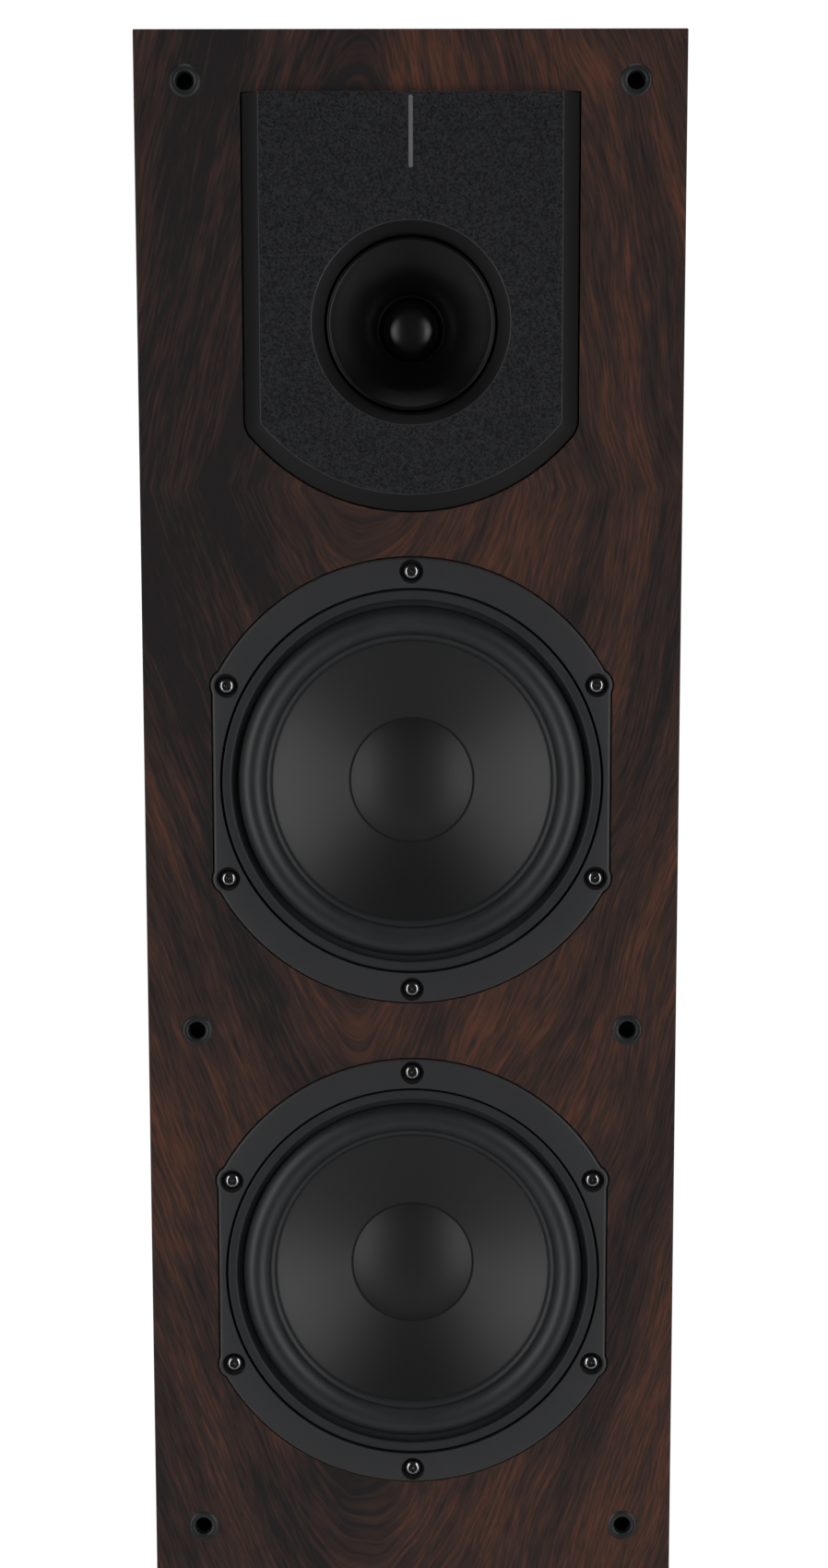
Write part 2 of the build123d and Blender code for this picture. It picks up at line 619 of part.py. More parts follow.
write_piece(waveguide_horn, "waveguide_horn")

# ---------------------------------------------------------- tweeter motor
DOME_BASE = HORN_BACK + 0.2
DOME_BALL = (DOME_RADIUS**2 + DOME_HEIGHT**2) / (2 * DOME_HEIGHT)

with BuildPart() as tweeter_dome:
    with BuildSketch(section_plane(TWEETER_Z)):
        with BuildLine():
            half_chord = DOME_RADIUS / 2
            half_rise = math.sqrt(DOME_BALL**2 - half_chord**2) - (DOME_BALL - DOME_HEIGHT)
            ThreePointArc((0, DOME_BASE - DOME_HEIGHT), (half_chord, DOME_BASE - half_rise), (DOME_RADIUS, DOME_BASE))
            Line((DOME_RADIUS, DOME_BASE), (DOME_RADIUS, DOME_BASE + DOME_THICKNESS))
            ThreePointArc(
                (DOME_RADIUS, DOME_BASE + DOME_THICKNESS),
                (half_chord, DOME_BASE - half_rise + DOME_THICKNESS),
                (0, DOME_BASE - DOME_HEIGHT + DOME_THICKNESS),
            )
            Line((0, DOME_BASE - DOME_HEIGHT + DOME_THICKNESS), (0, DOME_BASE - DOME_HEIGHT))
        make_face()
    revolve(axis=front_axis(TWEETER_Z))
write_piece(tweeter_dome, "tweeter_dome")

with BuildPart() as tweeter_surround:
    with BuildSketch(section_plane(TWEETER_Z)):
        with BuildLine():
            roll_inner = DOME_RADIUS + GLUE_GAP + DOME_THICKNESS / 2
            roll_outer = DOME_RADIUS + DOME_ROLL
            roll_top = ((roll_inner + roll_outer) / 2, DOME_BASE - DOME_ROLL_HEIGHT)
            ThreePointArc((roll_inner, DOME_BASE), roll_top, (roll_outer, DOME_BASE))
            Line((roll_outer, DOME_BASE), (TWEETER_CUP_RADIUS + TWEETER_RIM, DOME_BASE))
        trace(line_width=DOME_THICKNESS)
    revolve(axis=front_axis(TWEETER_Z))
write_piece(tweeter_surround, "tweeter_surround")

former_back = TWEETER_POLE_BACK + 0.8
turned(
    "tweeter_voice_coil",
    [TWEETER_Z],
    [
        (TWEETER_POLE_RADIUS + DOME_THICKNESS, DOME_BASE + DOME_THICKNESS),
        (TWEETER_FORMER_OUTER, DOME_BASE + DOME_THICKNESS),
        (TWEETER_FORMER_OUTER, TWEETER_GAP_DEPTH),
        (TWEETER_WINDING_OUTER, TWEETER_GAP_DEPTH),
        (TWEETER_WINDING_OUTER, former_back),
        (TWEETER_POLE_RADIUS + DOME_THICKNESS, former_back),
    ],
)
turned("tweeter_pole_plate", [TWEETER_Z], ring(0, TWEETER_POLE_RADIUS, TWEETER_GAP_DEPTH, TWEETER_POLE_BACK))
turned("tweeter_magnet", [TWEETER_Z], ring(0, TWEETER_MAGNET_RADIUS, TWEETER_POLE_BACK, TWEETER_MAGNET_BACK))
surround_back = DOME_BASE + DOME_THICKNESS / 2
turned(
    "tweeter_yoke",
    [TWEETER_Z],
    [
        (TWEETER_WINDING_OUTER + TWEETER_GAP, surround_back + TWEETER_ROLL_CLEARANCE),
        (roll_outer, surround_back + TWEETER_ROLL_CLEARANCE),
        (roll_outer, surround_back),
        (TWEETER_CUP_RADIUS + TWEETER_RIM, surround_back),
        (TWEETER_CUP_RADIUS + TWEETER_RIM, TWEETER_GAP_DEPTH + TWEETER_SHELF),
        (TWEETER_CUP_RADIUS, TWEETER_GAP_DEPTH + TWEETER_SHELF),
        (TWEETER_CUP_RADIUS, TWEETER_CUP_BACK),
        (0, TWEETER_CUP_BACK),
        (0, TWEETER_MAGNET_BACK),
        (TWEETER_WINDING_OUTER + TWEETER_YOKE_WALL, TWEETER_MAGNET_BACK),
        (TWEETER_WINDING_OUTER + TWEETER_YOKE_WALL, TWEETER_POLE_BACK),
        (TWEETER_WINDING_OUTER + TWEETER_GAP, TWEETER_POLE_BACK),
    ],
)
chamber_back = TWEETER_CUP_BACK + TWEETER_CHAMBER_DEPTH
turned(
    "tweeter_rear_chamber",
    [TWEETER_Z],
    [
        (TWEETER_CUP_RADIUS, TWEETER_GAP_DEPTH + TWEETER_SHELF),
        (TWEETER_CUP_RADIUS + HORN_WALL, TWEETER_GAP_DEPTH + TWEETER_SHELF),
        (TWEETER_CUP_RADIUS + HORN_WALL, chamber_back),
        (0, chamber_back),
        (0, chamber_back - HORN_WALL),
        (TWEETER_CUP_RADIUS, chamber_back - HORN_WALL),
    ],
)

# ------------------------------------------------------------------ woofers
BASKET_WALL = 3.2
LEDGE_THICKNESS = 3.0
SPIDER_SEAT = 4.0
LEDGE_BACK = FLANGE_BACK + LEDGE_THICKNESS
SPOKE_FRONT = LEDGE_BACK + LEDGE_THICKNESS
BASKET_NECK_RADIUS = SPIDER_RADIUS + LEDGE_THICKNESS

for woofer_name, woofer_z in WOOFER_Z.items():
    with BuildPart() as basket:
        # Flange with its two flats and four ears
        with BuildSketch(face_plane(woofer_z, FLANGE_BACK)):
            flange_outline()
        extrude(amount=FLANGE_THICKNESS)
        # Tapered bowl, spider ledge and the plate that holds the motor
        with BuildSketch(section_plane(woofer_z)):
            Polygon(
                (POCKET_INNER_RADIUS, POCKET_DEPTH),
                (BASKET_RADIUS, POCKET_DEPTH),
                (BASKET_RADIUS, LEDGE_BACK),
                (BASKET_NECK_RADIUS, SPIDER_LEDGE),
                (BASKET_NECK_RADIUS, BASKET_DEPTH),
                (MAGNET_HOLE_RADIUS, BASKET_DEPTH),
                (MAGNET_HOLE_RADIUS, BASKET_DEPTH - BASKET_WALL),
                (BASKET_NECK_RADIUS - BASKET_WALL, BASKET_DEPTH - BASKET_WALL),
                (SPIDER_RADIUS - SPIDER_SEAT, SPIDER_LEDGE + BASKET_WALL),
                (SPIDER_RADIUS - SPIDER_SEAT, SPIDER_LEDGE),
                (SPIDER_RADIUS, SPIDER_LEDGE),
                (SPIDER_RADIUS, SPIDER_LEDGE - 2.0),
                (POCKET_INNER_RADIUS, LEDGE_BACK),
            )
        revolve(axis=front_axis(woofer_z))
        # Pocket for the surround, and the open middle of the flange
        with BuildSketch(section_plane(woofer_z)):
            Polygon(
                (0, -FLANGE_PROUD - CUT_MARGIN),
                (POCKET_RADIUS, -FLANGE_PROUD - CUT_MARGIN),
                (POCKET_RADIUS, POCKET_DEPTH),
                (POCKET_INNER_RADIUS, POCKET_DEPTH),
                (POCKET_INNER_RADIUS, LEDGE_BACK),
                (0, LEDGE_BACK),
            )
        revolve(axis=front_axis(woofer_z), mode=Mode.SUBTRACT)
        # Windows between the spokes
        window_width = 2 * math.pi * BASKET_NECK_RADIUS / SPOKE_COUNT - SPOKE_WIDTH
        with BuildSketch(face_plane(woofer_z, SPOKE_FRONT)):
            with PolarLocations(BASKET_RADIUS, SPOKE_COUNT):
                Rectangle(2 * (BASKET_RADIUS - SPIDER_RADIUS + BASKET_WALL), window_width)
        extrude(amount=SPOKE_FRONT - SPIDER_LEDGE + SPIDER_SEAT, mode=Mode.SUBTRACT)
        # Screw holes, counterbored for the heads
        with BuildSketch(face_plane(woofer_z, -FLANGE_PROUD)):
            with Locations(*BOLT_POINTS):
                Circle(SHANK_HOLE_RADIUS)
        extrude(amount=-FLANGE_THICKNESS, mode=Mode.SUBTRACT)
        with BuildSketch(face_plane(woofer_z, -FLANGE_PROUD)):
            with Locations(*BOLT_POINTS):
                Circle(COUNTERBORE_RADIUS)
        extrude(amount=-FLANGE_PROUD - HEAD_SEAT, mode=Mode.SUBTRACT)
    write_piece(basket, f"{woofer_name}_basket")

    # Half-roll rubber surround: outer foot, roll, short leg and inner foot
    with BuildPart() as surround:
        with BuildSketch(section_plane(woofer_z)):
            with BuildLine():
                foot_middle = POCKET_DEPTH - ROLL_THICKNESS / 2
                inner_foot_depth = CONE_EDGE_DEPTH - GLUE_GAP - ROLL_THICKNESS / 2
                roll_crest = ((ROLL_OUTER_RADIUS + ROLL_INNER_RADIUS) / 2, foot_middle - ROLL_HEIGHT)
                Line((POCKET_RADIUS - FREE_GAP, foot_middle), (ROLL_OUTER_RADIUS, foot_middle))
                ThreePointArc((ROLL_OUTER_RADIUS, foot_middle), roll_crest, (ROLL_INNER_RADIUS, foot_middle))
                Line((ROLL_INNER_RADIUS, foot_middle), (ROLL_INNER_RADIUS, inner_foot_depth))
            trace(line_width=ROLL_THICKNESS)
        revolve(axis=front_axis(woofer_z))
    write_piece(surround, f"{woofer_name}_surround")

    # Straight-sided cone with a flat lip outside and a glue neck inside
    cone_back = CONE_THICKNESS / math.cos(math.radians(CONE_SLOPE))
    turned(
        f"{woofer_name}_cone",
        [woofer_z],
        [
            (CONE_RADIUS, CONE_EDGE_DEPTH),
            (CONE_RADIUS + CONE_LIP, CONE_EDGE_DEPTH),
            (CONE_RADIUS + CONE_LIP, CONE_EDGE_DEPTH + CONE_THICKNESS),
            (CONE_RADIUS, CONE_EDGE_DEPTH + cone_back),
            (FORMER_OUTER + CONE_THICKNESS, NECK_DEPTH + cone_back - CONE_THICKNESS * CONE_TAN),
            (FORMER_OUTER + CONE_THICKNESS, NECK_DEPTH + CONE_NECK),
            (FORMER_OUTER, NECK_DEPTH + CONE_NECK),
            (FORMER_OUTER, NECK_DEPTH),
        ],
    )

    with BuildPart() as dust_cap:
        with BuildSketch(section_plane(woofer_z)):
            with BuildLine():
                cap_ball = (DUST_CAP_RADIUS**2 + DUST_CAP_HEIGHT**2) / (2 * DUST_CAP_HEIGHT)
                cap_mid = DUST_CAP_RADIUS / 2
                cap_rise = math.sqrt(cap_ball**2 - cap_mid**2) - (cap_ball - DUST_CAP_HEIGHT)
                cap_back = CAP_EDGE_DEPTH - DUST_CAP_HEIGHT + DUST_CAP_THICKNESS
                cap_middle = CAP_EDGE_DEPTH - DUST_CAP_HEIGHT + cap_ball
                inner_ball = cap_ball - DUST_CAP_THICKNESS
                cap_inner = DUST_CAP_RADIUS - DUST_CAP_THICKNESS - GLUE_GAP
                cap_inner_depth = cap_middle - math.sqrt(inner_ball**2 - cap_inner**2)
                inner_mid = cap_inner / 2
                ThreePointArc(
                    (0, CAP_EDGE_DEPTH - DUST_CAP_HEIGHT),
                    (cap_mid, CAP_EDGE_DEPTH - cap_rise),
                    (DUST_CAP_RADIUS, CAP_EDGE_DEPTH),
                )
                Line((DUST_CAP_RADIUS, CAP_EDGE_DEPTH), (cap_inner, cap_inner_depth))
                ThreePointArc(
                    (cap_inner, cap_inner_depth),
                    (inner_mid, cap_middle - math.sqrt(inner_ball**2 - inner_mid**2)),
                    (0, cap_back),
                )
                Line((0, cap_back), (0, CAP_EDGE_DEPTH - DUST_CAP_HEIGHT))
            make_face()
        revolve(axis=front_axis(woofer_z))
    write_piece(dust_cap, f"{woofer_name}_dust_cap")

    winding_front = COIL_MIDDLE - WINDING_LENGTH / 2
    turned(
        f"{woofer_name}_voice_coil",
        [woofer_z],
        [
            (COIL_RADIUS, NECK_DEPTH),
            (FORMER_OUTER, NECK_DEPTH),
            (FORMER_OUTER, winding_front),
            (WINDING_OUTER, winding_front),
            (WINDING_OUTER, winding_front + WINDING_LENGTH),
            (FORMER_OUTER, winding_front + WINDING_LENGTH),
            (FORMER_OUTER, FORMER_BACK),
            (COIL_RADIUS, FORMER_BACK),
        ],
    )

    # Corrugated spider from the former to its ledge
    with BuildPart() as spider:
        with BuildSketch(section_plane(woofer_z)):
            with BuildLine():
                collar_start = FORMER_OUTER + GLUE_GAP
                wave_start = collar_start + SPIDER_COLLAR
                wave_end = SPIDER_RADIUS - SPIDER_RIM
                wave_step = (wave_end - wave_start) / (2 * SPIDER_WAVES)
                Line((collar_start, SPIDER_DEPTH), (wave_start, SPIDER_DEPTH))
                for wave in range(2 * SPIDER_WAVES):
                    wave_from = wave_start + wave * wave_step
                    wave_side = SPIDER_WAVE_HEIGHT if wave % 2 else -SPIDER_WAVE_HEIGHT
                    ThreePointArc(
                        (wave_from, SPIDER_DEPTH),
                        (wave_from + wave_step / 2, SPIDER_DEPTH + wave_side / 2),
                        (wave_from + wave_step, SPIDER_DEPTH),
                    )
                Line((wave_end, SPIDER_DEPTH), (SPIDER_RADIUS - FREE_GAP, SPIDER_DEPTH))
            trace(line_width=SPIDER_THICKNESS)
        revolve(axis=front_axis(woofer_z))
    write_piece(spider, f"{woofer_name}_spider")

WOOFER_PLACES = list(WOOFER_Z.values())
TRIM_FRONT = 0.2
TRIM_EDGE = 0.6
turned(
    "woofer_trim_rings",
    WOOFER_PLACES,
    [
        (TRIM_INNER_RADIUS, FOOT_FRONT),
        (TRIM_OUTER_RADIUS, FOOT_FRONT),
        (TRIM_OUTER_RADIUS, TRIM_FRONT + TRIM_EDGE),
        (TRIM_OUTER_RADIUS - TRIM_EDGE, TRIM_FRONT),
        (TRIM_INNER_RADIUS + TRIM_EDGE, TRIM_FRONT),
        (TRIM_INNER_RADIUS, TRIM_FRONT + TRIM_EDGE),
    ],
)
gap_radius = WINDING_OUTER + MOTOR_GAP
pole_radius = COIL_RADIUS - MOTOR_GAP
turned("woofer_top_plates", WOOFER_PLACES, ring(gap_radius, TOP_PLATE_RADIUS, TOP_PLATE_FRONT, MAGNET_FRONT))
turned("woofer_magnets", WOOFER_PLACES, ring(MAGNET_HOLE_RADIUS, MAGNET_RADIUS, MAGNET_FRONT, MAGNET_BACK))
turned(
    "woofer_yokes",
    WOOFER_PLACES,
    [
        (VENT_RADIUS, TOP_PLATE_FRONT),
        (pole_radius, TOP_PLATE_FRONT),
        (pole_radius, MAGNET_BACK),
        (TOP_PLATE_RADIUS, MAGNET_BACK),
        (TOP_PLATE_RADIUS, MOTOR_BACK),
        (VENT_RADIUS, MOTOR_BACK),
    ],
)

with BuildPart() as woofer_gaskets:
    for woofer_z in WOOFER_PLACES:
        with BuildSketch(face_plane(woofer_z, FLANGE_SEAT)):
            flange_outline(-FREE_GAP)
            Circle(BASKET_RADIUS + BASKET_CLEARANCE, mode=Mode.SUBTRACT)
            with Locations(*BOLT_POINTS):
                Circle(SHANK_HOLE_RADIUS, mode=Mode.SUBTRACT)
        extrude(amount=GASKET_THICKNESS)
write_piece(woofer_gaskets, "woofer_gaskets")

# Connection blocks under the baskets, shaped to the basket's neck
TERMINAL_DEPTH = BASKET_DEPTH - TERMINAL_SIZE / 2 - REAR_RIM
with BuildPart() as woofer_terminals:
    for woofer_z in WOOFER_PLACES:
        with BuildSketch(Plane.XY.offset(woofer_z - BASKET_NECK_RADIUS - TERMINAL_SIZE)):
            with Locations((0, FRONT_Y + TERMINAL_DEPTH)):
                Rectangle(2 * TERMINAL_SIZE, TERMINAL_SIZE)
        extrude(amount=2 * TERMINAL_SIZE)
        with BuildSketch(face_plane(woofer_z, BASKET_DEPTH)):
            Circle(BASKET_NECK_RADIUS)
        extrude(amount=2 * TERMINAL_SIZE, mode=Mode.SUBTRACT)
write_piece(woofer_terminals, "woofer_terminals")

with BuildPart() as woofer_screws:
    for woofer_z in WOOFER_PLACES:
        with BuildSketch(face_plane(woofer_z, HEAD_SEAT)):
            with Locations(*BOLT_POINTS):
                Circle(HEAD_RADIUS)
        extrude(amount=HEAD_HEIGHT, taper=HEAD_TAPER)
        with BuildSketch(face_plane(woofer_z, HEAD_SEAT)):
            with Locations(*BOLT_POINTS):
                Circle(SHANK_RADIUS)
        extrude(amount=-WOOFER_SCREW_LENGTH)
        with BuildSketch(face_plane(woofer_z, HEAD_SEAT - HEAD_HEIGHT)):
            with Locations(*BOLT_POINTS):
                Rectangle(RECESS_LENGTH, RECESS_WIDTH)
                Rectangle(RECESS_WIDTH, RECESS_LENGTH)
        extrude(amount=-RECESS_DEPTH, mode=Mode.SUBTRACT)
write_piece(woofer_screws, "woofer_screws")

# ------------------------------------------------------------- rear port
with BuildPart() as reflex_port:
    with BuildSketch(rear_section_plane(0, PORT_Z)):
        with BuildLine():
            flare_mouth = (PORT_RADIUS + PORT_FLARE, REAR_FLANGE_THICKNESS)
            flare_throat = (PORT_RADIUS, REAR_FLANGE_THICKNESS - PORT_FLARE)
            inner_throat = (PORT_RADIUS, REAR_FLANGE_THICKNESS - PORT_LENGTH + PORT_FLARE)
            inner_mouth = (PORT_RADIUS + PORT_FLARE * PORT_INNER_FLARE, REAR_FLANGE_THICKNESS - PORT_LENGTH)
            sleeve_radius = PORT_RADIUS + PORT_FLARE + PORT_WALL
            arc_point = (
                PORT_RADIUS + PORT_FLARE * (1 - math.sqrt(0.5)),
                REAR_FLANGE_THICKNESS - PORT_FLARE * (1 - math.sqrt(0.5)),
            )
            ThreePointArc(flare_mouth, arc_point, flare_throat)
            Polyline(
                flare_throat,
                inner_throat,
                inner_mouth,
                (inner_mouth[0] + PORT_WALL, inner_mouth[1]),
                (PORT_RADIUS + PORT_WALL, inner_throat[1]),
                (PORT_RADIUS + PORT_WALL, -REAR_THICKNESS),
                (sleeve_radius, -REAR_THICKNESS + PORT_FLARE),
                (sleeve_radius, 0),
                (PORT_FLANGE_RADIUS, 0),
                (PORT_FLANGE_RADIUS, REAR_FLANGE_THICKNESS - REAR_RIM),
                (PORT_FLANGE_RADIUS - REAR_RIM, REAR_FLANGE_THICKNESS),
                flare_mouth,
            )
        make_face()
    revolve(axis=rear_axis(0, PORT_Z))
    with BuildSketch(rear_plane(PORT_Z)):
        with Locations(*PORT_SCREW_POINTS):
            Circle(SHANK_HOLE_RADIUS)
    extrude(amount=REAR_FLANGE_THICKNESS, mode=Mode.SUBTRACT)
write_piece(reflex_port, "reflex_port")

# --------------------------------------------------------- connection cup
POST_POINTS = [(-POST_SPREAD / 2, 0), (POST_SPREAD / 2, 0)]
CUP_FLOOR = REAR_FLANGE_THICKNESS - CUP_DEPTH
with BuildPart() as terminal_cup:
    with BuildSketch(rear_plane(CUP_Z)):
        RectangleRounded(CUP_WIDTH, CUP_HEIGHT, CUP_CORNER)
    extrude(amount=REAR_FLANGE_THICKNESS)
    with BuildSketch(rear_plane(CUP_Z)):
        RectangleRounded(CUP_RECESS_WIDTH + 2 * CUP_WALL, CUP_RECESS_HEIGHT + 2 * CUP_WALL, CUP_CORNER)
    extrude(amount=CUP_FLOOR - CUP_WALL)
    with BuildSketch(rear_plane(CUP_Z, REAR_FLANGE_THICKNESS)):
        RectangleRounded(CUP_RECESS_WIDTH, CUP_RECESS_HEIGHT, CUP_CORNER - CUP_WALL)
    extrude(amount=-CUP_DEPTH, mode=Mode.SUBTRACT)
    with BuildSketch(rear_plane(CUP_Z, CUP_FLOOR)):
        with Locations(*POST_POINTS):
            Circle(POST_RADIUS + PRESS_GAP)
    extrude(amount=-CUP_WALL, mode=Mode.SUBTRACT)
    with BuildSketch(rear_plane(CUP_Z)):
        with Locations(*CUP_SCREW_POINTS):
            Circle(SHANK_HOLE_RADIUS)
    extrude(amount=REAR_FLANGE_THICKNESS, mode=Mode.SUBTRACT)
write_piece(terminal_cup, "terminal_cup")

# Threaded posts with a collar outside and a nut inside; threads are plain
with BuildPart() as binding_posts:
    with BuildSketch(rear_plane(CUP_Z, CUP_FLOOR - CUP_WALL - POST_TAIL)):
        with Locations(*POST_POINTS):
            Circle(POST_RADIUS)
    extrude(amount=POST_TAIL + CUP_WALL + POST_END)
    with BuildSketch(rear_plane(CUP_Z, CUP_FLOOR)):
        with Locations(*POST_POINTS):
            Circle(POST_COLLAR_RADIUS)
    extrude(amount=POST_COLLAR_HEIGHT)
    with BuildSketch(rear_plane(CUP_Z, CUP_FLOOR - CUP_WALL)):
        with Locations(*POST_POINTS):
            RegularPolygon(NUT_FLATS / 2, 6, major_radius=False)
    extrude(amount=-NUT_THICKNESS)
    with BuildSketch(rear_plane(CUP_Z, CUP_FLOOR + POST_END)):
        with Locations(*POST_POINTS):
            Circle(BANANA_RADIUS)
    extrude(amount=-BANANA_DEPTH, mode=Mode.SUBTRACT)
write_piece(binding_posts, "binding_posts")

WASHER_START = CUP_FLOOR + POST_COLLAR_HEIGHT + FREE_GAP
KNOB_START = WASHER_START + WASHER_THICKNESS + FREE_GAP
for post_name, post_x in (("red", POST_SPREAD / 2), ("black", -POST_SPREAD / 2)):
    # The rear planes look backwards, so the posts' places are mirrored
    with BuildPart() as clamp_washer:
        with BuildSketch(rear_plane(CUP_Z, WASHER_START)):
            with Locations((-post_x, 0)):
                Circle(WASHER_RADIUS)
                Circle(POST_RADIUS + RUNNING_GAP, mode=Mode.SUBTRACT)
        extrude(amount=WASHER_THICKNESS)
    write_piece(clamp_washer, f"{post_name}_clamp_washer")

    with BuildPart() as knob:
        with BuildSketch(rear_plane(CUP_Z, KNOB_START)):
            with Locations((-post_x, 0)):
                Circle(KNOB_RADIUS)
                with PolarLocations(KNOB_RADIUS + KNOB_FLUTE_OFFSET, KNOB_FLUTES):
                    Circle(KNOB_FLUTE_RADIUS, mode=Mode.SUBTRACT)
                Circle(POST_RADIUS + RUNNING_GAP, mode=Mode.SUBTRACT)
        extrude(amount=KNOB_LENGTH)
    write_piece(knob, f"{post_name}_knob")

# --------------------------------------------------------------- crossover
BOARD_BACK = INNER_REAR_Y - BOARD_STANDOFF
BOARD_FRONT = BOARD_BACK - BOARD_THICKNESS
with BuildPart() as crossover_board:
    with BuildSketch(rear_plane(BOARD_Z, BOARD_BACK - REAR_Y)):
        Rectangle(BOARD_WIDTH, BOARD_HEIGHT)
        with Locations(*BOARD_SCREW_POINTS):
            Circle(SHANK_HOLE_RADIUS, mode=Mode.SUBTRACT)
    extrude(amount=-BOARD_THICKNESS)
    # Standoffs moulded onto the back of the board
    with BuildSketch(rear_plane(BOARD_Z, BOARD_BACK - REAR_Y)):
        with Locations(*BOARD_SCREW_POINTS):
            Circle(SHANK_HOLE_RADIUS + CUP_WALL)
            Circle(SHANK_HOLE_RADIUS, mode=Mode.SUBTRACT)
    extrude(amount=BOARD_STANDOFF)
write_piece(crossover_board, "crossover_board")

BOARD_FACE = Plane(origin=(0, BOARD_FRONT, BOARD_Z), x_dir=(1, 0, 0), z_dir=(0, -1, 0))
INDUCTOR_POINTS = ((-30.0, 45.0), (30.0, 45.0), (-30.0, 0.0))
with BuildPart() as crossover_inductors:
    with BuildSketch(BOARD_FACE):
        with Locations(*INDUCTOR_POINTS):
            Circle(COIL_OUTER)
            Circle(COIL_INNER, mode=Mode.SUBTRACT)
    extrude(amount=COIL_LENGTH)
write_piece(crossover_inductors, "crossover_inductors")

CAPACITOR_RISES = (18.0, -4.0)
with BuildPart() as crossover_capacitors:
    for rise in CAPACITOR_RISES:
        lying = Plane(
            origin=(CAPACITOR_X, BOARD_FRONT - CAPACITOR_RADIUS, BOARD_Z + rise),
            x_dir=(0, 1, 0),
            z_dir=(1, 0, 0),
        )
        with BuildSketch(lying):
            Circle(CAPACITOR_RADIUS)
        extrude(amount=CAPACITOR_LENGTH)
write_piece(crossover_capacitors, "crossover_capacitors")

RESISTOR_RISES = (-30.0, -44.0)
with BuildPart() as crossover_resistors:
    with BuildSketch(BOARD_FACE):
        with Locations(*[(RESISTOR_X, rise) for rise in RESISTOR_RISES]):
            Rectangle(RESISTOR_LENGTH, RESISTOR_WIDTH)
    extrude(amount=RESISTOR_RISE)
write_piece(crossover_resistors, "crossover_resistors")

# ------------------------------------------- small screws, all one size
screw_seats = (
    (rear_plane(PORT_Z, REAR_FLANGE_THICKNESS), PORT_SCREW_POINTS),
    (rear_plane(CUP_Z, REAR_FLANGE_THICKNESS), CUP_SCREW_POINTS),
    (BOARD_FACE, BOARD_SCREW_POINTS),
    (
        Plane(origin=(0, FRONT_Y + PLATE_SCREW_SEAT, TWEETER_Z), x_dir=(-1, 0, 0), z_dir=(0, 1, 0)),
        PLATE_SCREW_POINTS,
    ),
)
with BuildPart() as panel_screws:
    for seat, seat_points in screw_seats:
        with BuildSketch(seat):
            with Locations(*seat_points):
                Circle(HEAD_RADIUS)
        extrude(amount=HEAD_HEIGHT, taper=HEAD_TAPER)
        with BuildSketch(seat):
            with Locations(*seat_points):
                Circle(SHANK_RADIUS)
        extrude(amount=-PANEL_SCREW_LENGTH)
        with BuildSketch(seat.offset(HEAD_HEIGHT)):
            with Locations(*seat_points):
                Rectangle(RECESS_LENGTH, RECESS_WIDTH)
                Rectangle(RECESS_WIDTH, RECESS_LENGTH)
        extrude(amount=-RECESS_DEPTH, mode=Mode.SUBTRACT)
write_piece(panel_screws, "panel_screws")

# ------------------------------------------------------------------ plinth
with BuildPart() as plinth:
    with BuildSketch(Plane.XY.offset(FOOT_HEIGHT)):
        RectangleRounded(PLINTH_WIDTH, PLINTH_DEPTH, PLINTH_EDGE)
    extrude(amount=PLINTH_THICKNESS)
    plinth_rims = plinth.faces().sort_by(Axis.Z)
    fillet(plinth_rims[0].edges() + plinth_rims[-1].edges(), PLINTH_RIM)
    with BuildSketch(Plane.XY.offset(FOOT_HEIGHT)):
        with Locations(*FOOT_POINTS):
            Circle(STUD_RADIUS + RUNNING_GAP)
    extrude(amount=PLINTH_THICKNESS, mode=Mode.SUBTRACT)
    with BuildSketch(Plane.XY.offset(FOOT_HEIGHT)):
        with Locations(*PLINTH_SCREW_POINTS):
            Circle(PLINTH_HEAD_RADIUS + FREE_GAP)
    extrude(amount=HEAD_HEIGHT + PLINTH_HEAD_SEAT, mode=Mode.SUBTRACT)
    with BuildSketch(Plane.XY.offset(FOOT_HEIGHT)):
        with Locations(*PLINTH_SCREW_POINTS):
            Circle(PLINTH_SHANK_RADIUS + PRESS_GAP)
    extrude(amount=PLINTH_THICKNESS, mode=Mode.SUBTRACT)
write_piece(plinth, "plinth")

with BuildPart() as plinth_screws:
    with BuildSketch(Plane.XY.offset(FOOT_HEIGHT + PLINTH_HEAD_SEAT)):
        with Locations(*PLINTH_SCREW_POINTS):
            Circle(PLINTH_HEAD_RADIUS)
    extrude(amount=HEAD_HEIGHT)
    with BuildSketch(Plane.XY.offset(FOOT_HEIGHT + PLINTH_HEAD_SEAT)):
        with Locations(*PLINTH_SCREW_POINTS):
            Circle(PLINTH_SHANK_RADIUS)
    extrude(amount=PLINTH_SCREW_LENGTH)
    with BuildSketch(Plane.XY.offset(FOOT_HEIGHT + PLINTH_HEAD_SEAT)):
        with Locations(*PLINTH_SCREW_POINTS):
            RegularPolygon(PLINTH_SHANK_RADIUS, 6)
    extrude(amount=RECESS_DEPTH, mode=Mode.SUBTRACT)
write_piece(plinth_screws, "plinth_screws")

